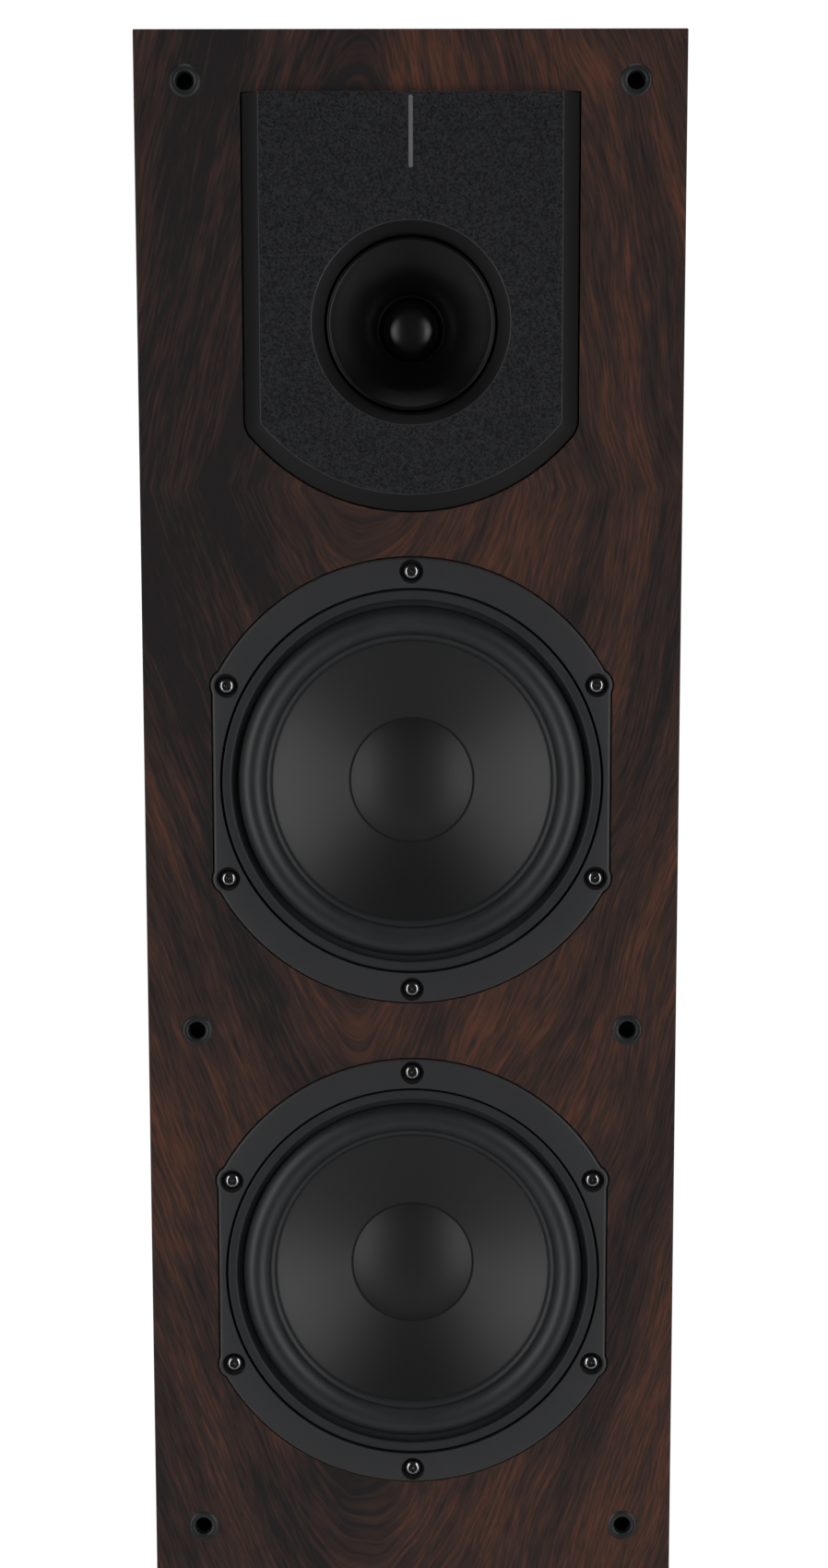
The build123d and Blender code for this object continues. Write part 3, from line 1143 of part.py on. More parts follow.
# -------------------------------------------------------------------- feet
# Each foot: a rubber pad that stays level, and a stud with a knurled wheel
# that turns in it and screws into the plinth. Threads are plain cylinders.
socket_radius = STUD_RADIUS + RUNNING_GAP
socket_floor = PAD_HEIGHT - PAD_SOCKET_DEPTH
wheel_top = FOOT_HEIGHT - FREE_GAP
wheel_bottom = wheel_top - WHEEL_THICKNESS
stud_top = FOOT_HEIGHT + PLINTH_THICKNESS - STUD_TIP_GAP
for foot_x, side_name in ((-FOOT_X, "left"), (FOOT_X, "right")):
    for foot_y, end_name in ((-FOOT_Y, "front"), (FOOT_Y, "rear")):
        foot_name = f"{end_name}_{side_name}"
        foot_section = Plane(origin=(foot_x, foot_y, 0), x_dir=(1, 0, 0), z_dir=(0, -1, 0))
        foot_axis = Axis((foot_x, foot_y, 0), (0, 0, 1))
        with BuildPart() as foot_pad:
            with BuildSketch(foot_section):
                Polygon(
                    (0, 0),
                    (PAD_RADIUS - PAD_RIM, 0),
                    (PAD_RADIUS, PAD_RIM),
                    (PAD_RADIUS, PAD_SHOULDER),
                    (PAD_TOP_RADIUS, PAD_HEIGHT),
                    (socket_radius, PAD_HEIGHT),
                    (socket_radius, socket_floor),
                    (0, socket_floor),
                )
            revolve(axis=foot_axis)
        write_piece(foot_pad, f"{foot_name}_foot_pad")

        with BuildPart() as foot_stud:
            with BuildSketch(foot_section):
                Polygon(
                    (0, socket_floor + FREE_GAP),
                    (STUD_RADIUS, socket_floor + FREE_GAP),
                    (STUD_RADIUS, PAD_HEIGHT + FREE_GAP),
                    (NECK_RADIUS, PAD_HEIGHT + FREE_GAP),
                    (NECK_RADIUS, wheel_bottom),
                    (WHEEL_RADIUS - WHEEL_RIM, wheel_bottom),
                    (WHEEL_RADIUS, wheel_bottom + WHEEL_RIM),
                    (WHEEL_RADIUS, wheel_top - WHEEL_RIM),
                    (WHEEL_RADIUS - WHEEL_RIM, wheel_top),
                    (STUD_RADIUS, wheel_top),
                    (STUD_RADIUS, stud_top),
                    (0, stud_top),
                )
            revolve(axis=foot_axis)
            with BuildSketch(Plane.XY.offset(wheel_bottom)):
                with Locations((foot_x, foot_y)):
                    with PolarLocations(WHEEL_RADIUS + NOTCH_OFFSET, WHEEL_NOTCHES):
                        Circle(NOTCH_RADIUS)
            extrude(amount=WHEEL_THICKNESS, mode=Mode.SUBTRACT)
        write_piece(foot_stud, f"{foot_name}_foot_stud")

# ---------------------------------------------------------- internal leads
# Jacketed twin leads, held along their routes: from the board to each
# driver, and from the connection posts to the board.
TERMINAL_BOTTOM = -BASKET_NECK_RADIUS - TERMINAL_SIZE
TERMINAL_PLACE_Y = FRONT_Y + TERMINAL_DEPTH
UPPER_TERMINAL_Z = WOOFER_Z["upper"] + TERMINAL_BOTTOM
LOWER_TERMINAL_Z = WOOFER_Z["lower"] + TERMINAL_BOTTOM
CHAMBER_Y = FRONT_Y + chamber_back
BOARD_TOP_Z = BOARD_Z + BOARD_HEIGHT / 2 - LEAD_INSET
BOARD_LOW_Z = BOARD_Z - BOARD_HEIGHT / 2 + LEAD_INSET
POST_TAIL_Y = REAR_Y + CUP_FLOOR - CUP_WALL - POST_TAIL
tweeter_lead = (
    (-20, BOARD_FRONT, BOARD_TOP_Z),
    (-20, 100, BOARD_TOP_Z),
    (-30, 66, 378),
    (-40, 36, 416),
    (-44, 24, 470),
    (-41, 22, 530),
    (-44, 24, 590),
    (-42, 26, 650),
    (-45, 24, 710),
    (-42, 23, 770),
    (-40, 27, 825),
    (-34, 18, 870),
    (-18, -8, 896),
    (0, -50, TWEETER_Z),
    (0, CHAMBER_Y, TWEETER_Z),
)
upper_woofer_lead = (
    (20, BOARD_FRONT, BOARD_TOP_Z),
    (20, 100, BOARD_TOP_Z),
    (30, 66, 380),
    (38, 36, 415),
    (42, 20, 465),
    (40, -2, 515),
    (34, -40, 552),
    (30, -76, 588),
    (24, -86, 608),
    (16, -96, 630),
    (7, TERMINAL_PLACE_Y, UPPER_TERMINAL_Z - 14),
    (7, TERMINAL_PLACE_Y, UPPER_TERMINAL_Z),
)
lower_woofer_lead = (
    (0, BOARD_FRONT, BOARD_TOP_Z),
    (0, 98, BOARD_TOP_Z),
    (-8, 56, 362),
    (-16, 10, 366),
    (-22, -34, 378),
    (-24, -70, 402),
    (-16, -94, 430),
    (-6, TERMINAL_PLACE_Y, LOWER_TERMINAL_Z - 11),
    (-6, TERMINAL_PLACE_Y, LOWER_TERMINAL_Z),
)


def input_lead(post_x):
    """Lead from one connection post to the foot of the board."""
    return (
        (post_x, POST_TAIL_Y, CUP_Z),
        (post_x, 98, CUP_Z),
        (post_x * 1.05, 84, 176),
        (post_x * 1.1, 84, 200),
        (post_x, 98, BOARD_LOW_Z),
        (post_x, BOARD_FRONT, BOARD_LOW_Z),
    )


def lead_radii(points):
    """Arc radii at a route's corners, as large as the two runs allow."""
    places = [Vector(*point) for point in points]
    radii = []
    for before, corner, after in zip(places, places[1:], places[2:]):
        shorter = min((corner - before).length, (after - corner).length)
        turn = math.radians((corner - before).get_angle(after - corner))
        radii.append(LEAD_ARC_SHARE * shorter / math.tan(turn / 2))
    return radii


with BuildPart() as internal_wires:
    for route in (
        tweeter_lead,
        upper_woofer_lead,
        lower_woofer_lead,
        input_lead(POST_SPREAD / 2),
        input_lead(-POST_SPREAD / 2),
    ):
        corner_radii = lead_radii(route)
        with BuildLine() as lead_path:
            FilletPolyline(*route, radius=corner_radii)
        with BuildSketch(Plane(origin=route[0], z_dir=lead_path.line % 0)):
            Circle(WIRE_RADIUS)
        sweep()
        print("lead", round(lead_path.wires()[0].length, 1), "mm, tightest", round(min(corner_radii), 1), "mm")
write_piece(internal_wires, "internal_wires")
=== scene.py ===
import math

import bmesh
import bpy
from mathutils import Matrix, Vector


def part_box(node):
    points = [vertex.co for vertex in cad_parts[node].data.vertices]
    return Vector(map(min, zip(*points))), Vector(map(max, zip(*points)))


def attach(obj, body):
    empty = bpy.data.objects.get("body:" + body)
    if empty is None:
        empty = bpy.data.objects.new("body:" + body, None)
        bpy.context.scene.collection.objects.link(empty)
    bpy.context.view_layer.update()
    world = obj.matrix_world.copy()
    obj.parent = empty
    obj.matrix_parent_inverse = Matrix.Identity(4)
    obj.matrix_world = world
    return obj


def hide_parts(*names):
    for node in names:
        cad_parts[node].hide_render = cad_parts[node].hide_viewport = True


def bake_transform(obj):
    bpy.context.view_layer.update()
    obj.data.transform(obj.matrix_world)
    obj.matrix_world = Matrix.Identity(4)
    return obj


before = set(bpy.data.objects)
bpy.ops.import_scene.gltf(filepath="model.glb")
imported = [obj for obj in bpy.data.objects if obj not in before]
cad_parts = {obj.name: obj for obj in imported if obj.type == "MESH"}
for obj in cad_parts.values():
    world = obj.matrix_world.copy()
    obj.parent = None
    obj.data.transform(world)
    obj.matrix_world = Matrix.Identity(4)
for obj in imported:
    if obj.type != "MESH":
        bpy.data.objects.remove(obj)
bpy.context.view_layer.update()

bl_info = {
    "name": "Floorstanding Loudspeaker",
    "version": (1, 0, 0),
    "blender": (4, 5, 0),
    "location": "View3D > Sidebar > Loudspeaker",
    "description": "Finished pieces of a two-way floorstanding loudspeaker on its levelling plinth",
    "category": "Object",
}

# Lengths in the sections below are millimetres, and become metres in axes() and place_mesh().
MM = 0.001


def middle(node):
    """Middle of a frame node's box, in metres."""
    low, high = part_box(node)
    return (low + high) / 2


# ------------------------------------------------------- places in the frame
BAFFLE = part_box("front_baffle")
FRONT_Y = BAFFLE[0].y
SIDE_X = BAFFLE[1].x
FLOOR_Z = BAFFLE[0].z
TOP_Z = BAFFLE[1].z
REAR_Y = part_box("rear_panel")[1].y
TWEETER = Vector((0, FRONT_Y, middle("tweeter_dome").z))
WOOFERS = {side: Vector((0, FRONT_Y, middle(f"{side}_cone").z)) for side in ("upper", "lower")}
PORT = Vector((0, REAR_Y, middle("reflex_port").z))
CUP = Vector((0, REAR_Y, middle("terminal_cup").z))
POST_X = middle("red_knob").x
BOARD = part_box("crossover_board")
FEET = {
    f"{end}_{side}": middle(f"{end}_{side}_foot_pad") for end in ("front", "rear") for side in ("left", "right")
}


def length(name, value, description):
    """A size in metres, shown in the scene's length unit."""
    return bpy.props.FloatProperty(
        name=name, default=value * MM, min=0, unit="LENGTH", subtype="DISTANCE", precision=5, description=description
    )


def tint(name, colour, description):
    """A colour with red, green and blue shares."""
    return bpy.props.FloatVectorProperty(
        name=name, default=colour, min=0, max=1, size=3, subtype="COLOR", description=description
    )


class SpeakerCabinetSizes(bpy.types.PropertyGroup):
    edge: length("Edge", 0.5, "Rounding of the cabinet's outer edges")
    plinth_edge: length("Plinth edge", 2.0, "Rounding of the plinth's edges")
    socket_edge: length("Socket edge", 0.35, "Rounding of the grille sockets' rims")
    socket_radius: length("Socket radius", 6.1, "Outer radius of a grille socket's rim")


class SpeakerTweeterSizes(bpy.types.PropertyGroup):
    half_width: length("Half width", 64.15, "Half the width of the waveguide plate")
    top: length("Top", 84.9, "Top edge of the plate over the tweeter's axis")
    arc_radius: length("Arc radius", 81.8, "Radius of the plate's lower edge")
    bottom: length("Bottom", 70.4, "Lower edge of the plate under the tweeter's axis")
    corner: length("Corner", 9.0, "Radius where the straight sides meet the lower arc")
    bevel: length("Bevel", 6.45, "Width of the sloping rim of the plate")
    proud: length("Proud", 4.0, "Height of the plate over the baffle")
    countersink: length("Countersink", 38.35, "Outer radius of the slope round the horn")


class SpeakerWooferSizes(bpy.types.PropertyGroup):
    flange_radius: length("Flange radius", 87.0, "Outer radius of a woofer's flange")
    flat: length("Flat", 78.0, "Distance of the flange's straight sides from its axis")
    ear_radius: length("Ear radius", 6.3, "Radius of the ears round the side screws")
    bolt_radius: length("Bolt circle", 81.6, "Radius of the circle that the screws lie on")
    flange_edge: length("Flange edge", 1.1, "Rounding of the flange's rim")
    roll_outer: length("Roll outside", 68.6, "Outer radius of the rubber roll")
    roll_inner: length("Roll inside", 57.2, "Inner radius of the rubber roll")
    roll_height: length("Roll height", 4.6, "Height of the rubber roll")
    roll_thickness: length("Roll thickness", 0.9, "Thickness of the rubber")
    spider_waves: bpy.props.IntProperty(name="Spider waves", default=8, min=2, description="Half waves of the spider")


class SpeakerRearSizes(bpy.types.PropertyGroup):
    port_radius: length("Port radius", 27.0, "Inner radius of the port tube")
    knob_radius: length("Knob radius", 8.2, "Outer radius of a connection knob")
    knob_flutes: bpy.props.IntProperty(name="Knob flutes", default=12, min=3, description="Flutes round a knob")
    wheel_notches: bpy.props.IntProperty(
        name="Wheel notches", default=24, min=6, description="Notches in a foot wheel"
    )


class SpeakerFinishes(bpy.types.PropertyGroup):
    wood_dark: tint("Dark wood", (0.0165, 0.0136, 0.0142), "Near-black figure of the wood wrap")
    wood_mid: tint("Brown wood", (0.0480, 0.0268, 0.0215), "Main brown of the wood wrap")
    wood_red: tint("Red wood", (0.0840, 0.0345, 0.0230), "Red-brown patches of the wood wrap")
    plate: tint("Plate", (0.0125, 0.0130, 0.0145), "Grained face of the waveguide plate")
    flange: tint("Flange", (0.0235, 0.0242, 0.0262), "Painted woofer flanges")
    cone: tint("Cone", (0.0072, 0.0074, 0.0082), "Coated paper of the cones")
    rubber: tint("Rubber", (0.0110, 0.0120, 0.0138), "Rubber of the rolls")


class SpeakerStage(bpy.types.PropertyGroup):
    floor_half: length("Floor half width", 1000.0, "Half the width of the floor")
    lens: bpy.props.FloatProperty(name="Lens", default=67.41, min=1, description="Focal length in millimetres")
    strip_power: bpy.props.FloatProperty(
        name="Strip power", default=21.0, min=0, unit="POWER", description="Power of each side light"
    )


GROUPS = {
    "speaker_cabinet": SpeakerCabinetSizes,
    "speaker_tweeter": SpeakerTweeterSizes,
    "speaker_woofer": SpeakerWooferSizes,
    "speaker_rear": SpeakerRearSizes,
    "speaker_finishes": SpeakerFinishes,
    "speaker_stage": SpeakerStage,
}


# ------------------------------------------------------------------- graphs
class Value:
    """One socket of a node graph that takes part in plain arithmetic."""

    def __init__(self, graph, socket):
        self.graph = graph
        self.socket = socket

    def maths(self, operation, *terms):
        return self.graph.add("ShaderNodeMath", {"operation": operation}, dict(enumerate(terms)))

    def __add__(self, other):
        return self.maths("ADD", self, other)

    def __sub__(self, other):
        return self.maths("SUBTRACT", self, other)

    def __mul__(self, other):
        return self.maths("MULTIPLY", self, other)

    def __truediv__(self, other):
        return self.maths("DIVIDE", self, other)

    def __pow__(self, other):
        return self.maths("POWER", self, other)

    def __radd__(self, other):
        return self.maths("ADD", other, self)

    def __rsub__(self, other):
        return self.maths("SUBTRACT", other, self)

    def __rmul__(self, other):
        return self.maths("MULTIPLY", other, self)

    def sine(self):
        return self.maths("SINE", self)

    def cosine(self):
        return self.maths("COSINE", self)

    def size(self):
        return self.maths("ABSOLUTE", self)

    def sign(self):
        return self.maths("SIGN", self)

    def above(self, edge):
        """The value over an edge, and nothing under it."""
        return (self - edge).maths("MAXIMUM", self - edge, 0.0)

    def step(self, low, high):
        """0 below low and 1 above high, smoothly between."""
        return self.graph.add(
            "ShaderNodeMapRange", {"interpolation_type": "SMOOTHSTEP"}, {0: self, 1: low, 2: high, 3: 0.0, 4: 1.0}
        )


class Graph:
    """A node tree, built with one call for each node."""

    def __init__(self, tree):
        self.tree = tree

    def add(self, kind, settings=None, sockets=None, out=0):
        """Add a node of a type, set its settings, then its sockets, and return one of its outputs."""
        node = self.tree.nodes.new(kind)
        for key, setting in (settings or {}).items():
            if key == "stops":
                self.fill_ramp(node.color_ramp, setting)
            else:
                setattr(node, key, setting)
        for key, value in (sockets or {}).items():
            if isinstance(value, Value):
                self.tree.links.new(value.socket, node.inputs[key])
            else:
                node.inputs[key].default_value = value
        return Value(self, node.outputs[out]) if len(node.outputs) else None

    @staticmethod
    def fill_ramp(ramp, stops):
        """Give a ramp its (place, colour) stops."""
        while len(ramp.elements) < len(stops):
            ramp.elements.new(1.0)
        for element, (place, colour) in zip(ramp.elements, stops):
            element.position = place
            element.color = (*colour, 1.0)

    def parts(self, vector):
        """X, Y and Z of a vector."""
        node = self.tree.nodes.new("ShaderNodeSeparateXYZ")
        self.tree.links.new(vector.socket, node.inputs[0])
        return [Value(self, socket) for socket in node.outputs]

    def vector(self, x=0.0, y=0.0, z=0.0):
        return self.add("ShaderNodeCombineXYZ", None, {0: x, 1: y, 2: z})


class Finish(Graph):
    """A procedural material on one principled shader."""

    def __init__(self, name):
        self.material = bpy.data.materials.new(name)
        self.material.use_nodes = True
        super().__init__(self.material.node_tree)
        self.tree.nodes.clear()
        self.place = self.add("ShaderNodeTexCoord", None, None, 3)

    def noise(self, scale, detail=2.0, roughness=0.5, place=None, distortion=0.0):
        """A noise from about 0 to 1."""
        return self.add(
            "ShaderNodeTexNoise",
            None,
            {
                "Vector": place or self.place,
                "Scale": scale,
                "Detail": detail,
                "Roughness": roughness,
                "Distortion": distortion,
            },
        )

    def mix(self, share, first, second):
        """Blend of two colours."""
        first, second = ((*c, 1.0) if isinstance(c, tuple) else c for c in (first, second))
        return self.add("ShaderNodeMix", {"data_type": "RGBA"}, {0: share, 6: first, 7: second}, 2)

    def bump(self, height, strength, distance, below=None):
        """A normal from a height of 0 to 1."""
        sockets = {"Strength": strength, "Distance": distance, "Height": height}
        if below:
            sockets["Normal"] = below
        return self.add("ShaderNodeBump", None, sockets)

    def shade(self, colour, roughness, normal=None, metallic=0.0, **constants):
        """Close the material with its shader. Constants are sockets that are the same all over."""
        sockets = {
            "Base Color": (*colour, 1.0) if isinstance(colour, tuple) else colour,
            "Roughness": roughness,
            "Metallic": metallic,
        }
        if normal:
            sockets["Normal"] = normal
        sockets.update({key.replace("_", " "): value for key, value in constants.items()})
        shader = self.add("ShaderNodeBsdfPrincipled", None, sockets)
        self.add("ShaderNodeOutputMaterial", None, {"Surface": shader})
        return self.material


def moulded(name, colour, roughness, grain=2500.0, relief=0.05, mottle=0.08, metallic=0.0, **constants):
    """A plain moulded, painted or plated finish: a fine grain, slow mottling and uneven gloss."""
    finish = Finish(name)
    fine = finish.noise(grain, 3.0, 0.6)
    slow = finish.noise(grain / 40, 2.0)
    shade = 1.0 - mottle
    darker = tuple(channel * shade for channel in colour)
    lighter = tuple(min(1.0, channel * (1.0 + mottle)) for channel in colour)
    tone = finish.mix(fine * 0.5 + slow * 0.5, darker, lighter)
    gloss = roughness - 0.06 + slow * 0.06 + fine * 0.06
    return finish.shade(tone, gloss, finish.bump(fine, 0.6, relief * MM), metallic, **constants)


def wood_wrap(tints):
    """Dark striped wood wrap. The pattern lies on the wrap's own unrolled map, in metres."""
    finish = Finish("Wood Wrap")
    across, up, _ = finish.parts(finish.add("ShaderNodeUVMap", {"uv_map": "Wrap"}))
    drop = TOP_Z - up
    # The figure opens downwards beside the plate, then closes in tall flames about a line left of the middle
    wander = finish.noise(1.0, 2.0, 0.5, finish.vector(across * 10.0, up * 5.0)) - 0.5
    waver = finish.noise(1.0, 2.0, 0.5, finish.vector(across * 42.0, up * 19.0)) - 0.5
    aside = across + 0.022 + wander * 0.03
    lean = drop.above(0.17) * 0.58 - drop * 0.24
    grain = (aside * aside + 0.0006) ** 0.5 + lean + wander * 0.028 + waver * 0.003
    bands = finish.noise(1.0, 3.0, 0.55, finish.vector(grain * 42.0, up * 3.0))
    streaks = finish.noise(1.0, 4.0, 0.65, finish.vector(grain * 150.0, up * 7.0, 3.0))
    fibres = finish.noise(1.0, 2.0, 0.6, finish.vector(grain * 820.0, up * 60.0, 7.0))
    pores = finish.noise(1.0, 1.0, 0.5, finish.vector(grain * 1400.0, up * 120.0, 11.0))
    smoke = finish.noise(1.0, 3.0, 0.6, finish.vector(across * 26.0, up * 9.0, 5.0))

    def patch(x, under_top, wide, high, soft=1.3):
        """1 in the middle of an uneven oval patch and 0 outside it."""
        along = (across - x + wander * 0.05) / wide
        down = (drop - under_top) / high
        reach = (along * along + down * down) ** 0.5 + (smoke - 0.5) * soft + (bands - 0.5) * soft
        return 1.0 - reach.step(0.40, 1.30)

    dark_mass = patch(-0.074, 0.085, 0.030, 0.13) + patch(-0.082, 0.225, 0.040, 0.07)
    dark_mass = dark_mass + patch(-0.040, 0.012, 0.03, 0.03)
    dark_mass = dark_mass + patch(-0.080, 0.345, 0.022, 0.06) * 0.8 + patch(-0.045, 0.575, 0.03, 0.04) * 0.8
    red_mass = patch(0.035, 0.014, 0.060, 0.016) + patch(0.030, 0.190, 0.050, 0.022) + patch(0.050, 0.582, 0.05, 0.03)
    red_mass = red_mass + patch(0.092, 0.12, 0.016, 0.09) * 0.6 + patch(0.0, 0.38, 0.05, 0.018) * 0.6
    red_mass = red_mass + patch(-0.097, 0.46, 0.014, 0.09) * 0.8
    figure = (bands - 0.5) * 1.6 + (streaks - 0.5) * 1.2 + (fibres - 0.5) * 1.5 + red_mass * 0.16 - dark_mass * 0.30
    figure = figure + across.step(-0.06, 0.05) * 0.03 + 0.47
    dark, mid, red = tuple(tints.wood_dark), tuple(tints.wood_mid), tuple(tints.wood_red)
    brown = tuple((a * 0.45 + b * 0.55) for a, b in zip(dark, mid))
    tone = finish.add(
        "ShaderNodeValToRGB",
        {"stops": ((0.08, dark), (0.34, brown), (0.56, mid), (0.80, red), (1.0, tuple(c * 1.25 for c in red)))},
        {0: figure},
    )
    flecks = 1.0 - pores.step(0.34, 0.46)
    tone = finish.mix(flecks * 0.42, tone, tuple(channel * 0.8 for channel in dark))
    relief = finish.bump(fibres * 0.5 + pores * 0.5, 0.30, 0.05 * MM)
    return finish.shade(tone, 0.52 + flecks * 0.12 - fibres * 0.06, relief, Specular_IOR_Level=0.2)


def grained_plate(tints):
    """Waveguide plate: a coarse powder grain on its face, and smooth, darker slopes, with a painted highlight along
    the rounded edges of the face and painted shade in the countersink round the horn.
    """
    finish = Finish("Waveguide Plate Grain")
    x, depth, z = finish.parts(finish.place)
    x, z = x - TWEETER.x, z - TWEETER.z
    depth = depth - FRONT_Y
    face = 1.0 - depth.step(-3.99 * MM, -3.93 * MM)
    # Mask of the rounded border just under the face, where a light hairline is painted as a highlight.
    rim = (1.0 - face) * (1.0 - depth.step(-3.82 * MM, -3.74 * MM))
    # Mask of the countersink round the horn, where shade is painted.
    bowl = 1.0 - ((x * x + z * z) ** 0.5).step(37.9 * MM, 38.2 * MM)
    coarse = finish.noise(1250.0, 2.0, 0.6)
    fine = finish.noise(3400.0, 2.0, 0.5)
    grain = coarse * 0.65 + fine * 0.35

    def shade_of(share):
        return tuple(channel * share for channel in tints.plate)

    face_tone = finish.mix(grain.step(0.36, 0.64), shade_of(0.25), shade_of(2.2))
    # Painted shade: the countersink slope is coloured a third as bright as the outer slopes.
    slope_tone = finish.mix(bowl, shade_of(0.36), shade_of(0.12))
    # Painted highlight: the rounded border of the face is coloured much lighter than the slopes.
    slope_tone = finish.mix(rim, slope_tone, shade_of(3.4))
    relief = finish.bump(grain * face, 0.55, 0.16 * MM)
    gloss = 0.38 + face * 0.10 + bowl * 0.16
    return finish.shade(finish.mix(face, slope_tone, face_tone), gloss, relief, Specular_IOR_Level=0.26)


def cone_paper(name, colour, centre):
    """Pressed paper with a matt coating, slightly uneven round the cone."""
    finish = Finish(name)
    x, _, z = finish.parts(finish.place)
    x, z = x - centre.x, z - centre.z
    radius = (x * x + z * z) ** 0.5
    pulp = finish.noise(900.0, 4.0, 0.65)
    flecks = finish.noise(3200.0, 2.0)
    rings = (radius * 2400.0).sine() * 0.5 + 0.5
    tone = finish.mix(pulp * 0.7 + flecks * 0.3, tuple(c * 0.88 for c in colour), tuple(c * 1.12 for c in colour))
    seam = radius.step(24.2 * MM, 24.4 * MM) * (1.0 - radius.step(24.9 * MM, 25.3 * MM))
    tone = finish.mix(seam, tone, tuple(c * 0.2 for c in colour))
    relief = finish.bump(pulp * 0.6 + flecks * 0.3 + rings * 0.1, 0.35, 0.04 * MM)
    gloss = 0.40 + pulp * 0.06 + (1.0 - radius.step(24.0 * MM, 56.0 * MM)) * 0.08 + seam * 0.35
    return finish.shade(tone, gloss, relief, Specular_IOR_Level=0.42)


def rolled_rubber(name, colour, roughness, grain=1800.0, bloom=(0.018, 0.021, 0.024)):
    """Satin rubber with a faint chalky bloom."""
    finish = Finish(name)
    fine = finish.noise(grain, 4.0, 0.7)
    cloud = finish.noise(60.0, 3.0, 0.6)
    tone = finish.mix(cloud.step(0.35, 0.8) * 0.35 + fine.step(0.55, 0.8) * 0.3, colour, bloom)
    return finish.shade(tone, roughness - 0.08 + cloud * 0.1 + fine * 0.06, finish.bump(fine, 0.5, 0.06 * MM))


def woven(name, colour, pitch, relief, roughness=0.75, gloss=0.3):
    """Cloth with threads both ways across the piece."""
    finish = Finish(name)
    x, _, z = finish.parts(finish.place)
    turn = 2 * math.pi / pitch
    weave = ((x * turn).sine() * (z * turn).sine()) * 0.5 + 0.5
    fuzz = finish.noise(4000.0, 2.0)
    darker, lighter = tuple(c * 0.6 for c in colour), tuple(min(1, c * 1.3) for c in colour)
    tone = finish.mix(weave * 0.6 + fuzz * 0.4, darker, lighter)
    return finish.shade(tone, roughness, finish.bump(weave, 0.6, relief * MM), Specular_IOR_Level=gloss)


def wound_wire(name, colour, pitch, axis):
    """Turns of enamelled wire, side by side along an axis."""
    finish = Finish(name)
    along = finish.parts(finish.place)[axis]
    turns = (along * (2 * math.pi / pitch)).sine() * 0.5 + 0.5
    age = finish.noise(120.0, 3.0)
    tone = finish.mix(turns * 0.7 + age * 0.3, tuple(c * 0.45 for c in colour), colour)
    return finish.shade(tone, 0.32 + age * 0.1, finish.bump(turns, 0.9, 0.25 * MM), 0.9)


def loose_fibre(name, colour, scale):
    """Matted wadding or fibreboard."""
    finish = Finish(name)
    tangle = finish.noise(scale, 5.0, 0.7, None, 1.5)
    tufts = finish.noise(scale / 12, 3.0, 0.6)
    darker, lighter = tuple(c * 0.6 for c in colour), tuple(min(1, c * 1.25) for c in colour)
    tone = finish.mix(tangle * 0.6 + tufts * 0.4, darker, lighter)
    return finish.shade(tone, 0.92, finish.bump(tangle * 0.5 + tufts * 0.5, 0.8, 0.5 * MM), Specular_IOR_Level=0.2)


def brushed(name, colour, roughness, centre, axis=1):
    """Turned metal, brushed in circles round an axis."""
    finish = Finish(name)
    place = finish.parts(finish.place)
    spans = [place[i] - centre[i] for i in range(3) if i != axis]
    radius = (spans[0] * spans[0] + spans[1] * spans[1]) ** 0.5
    rings = finish.noise(1.0, 3.0, 0.7, finish.vector(radius * 9000.0, place[axis] * 900.0))
    wear = finish.noise(220.0, 3.0)
    tone = finish.mix(rings * 0.6 + wear * 0.4, tuple(c * 0.75 for c in colour), colour)
    return finish.shade(tone, roughness - 0.05 + rings * 0.1, finish.bump(rings, 0.25, 0.02 * MM), 1.0)


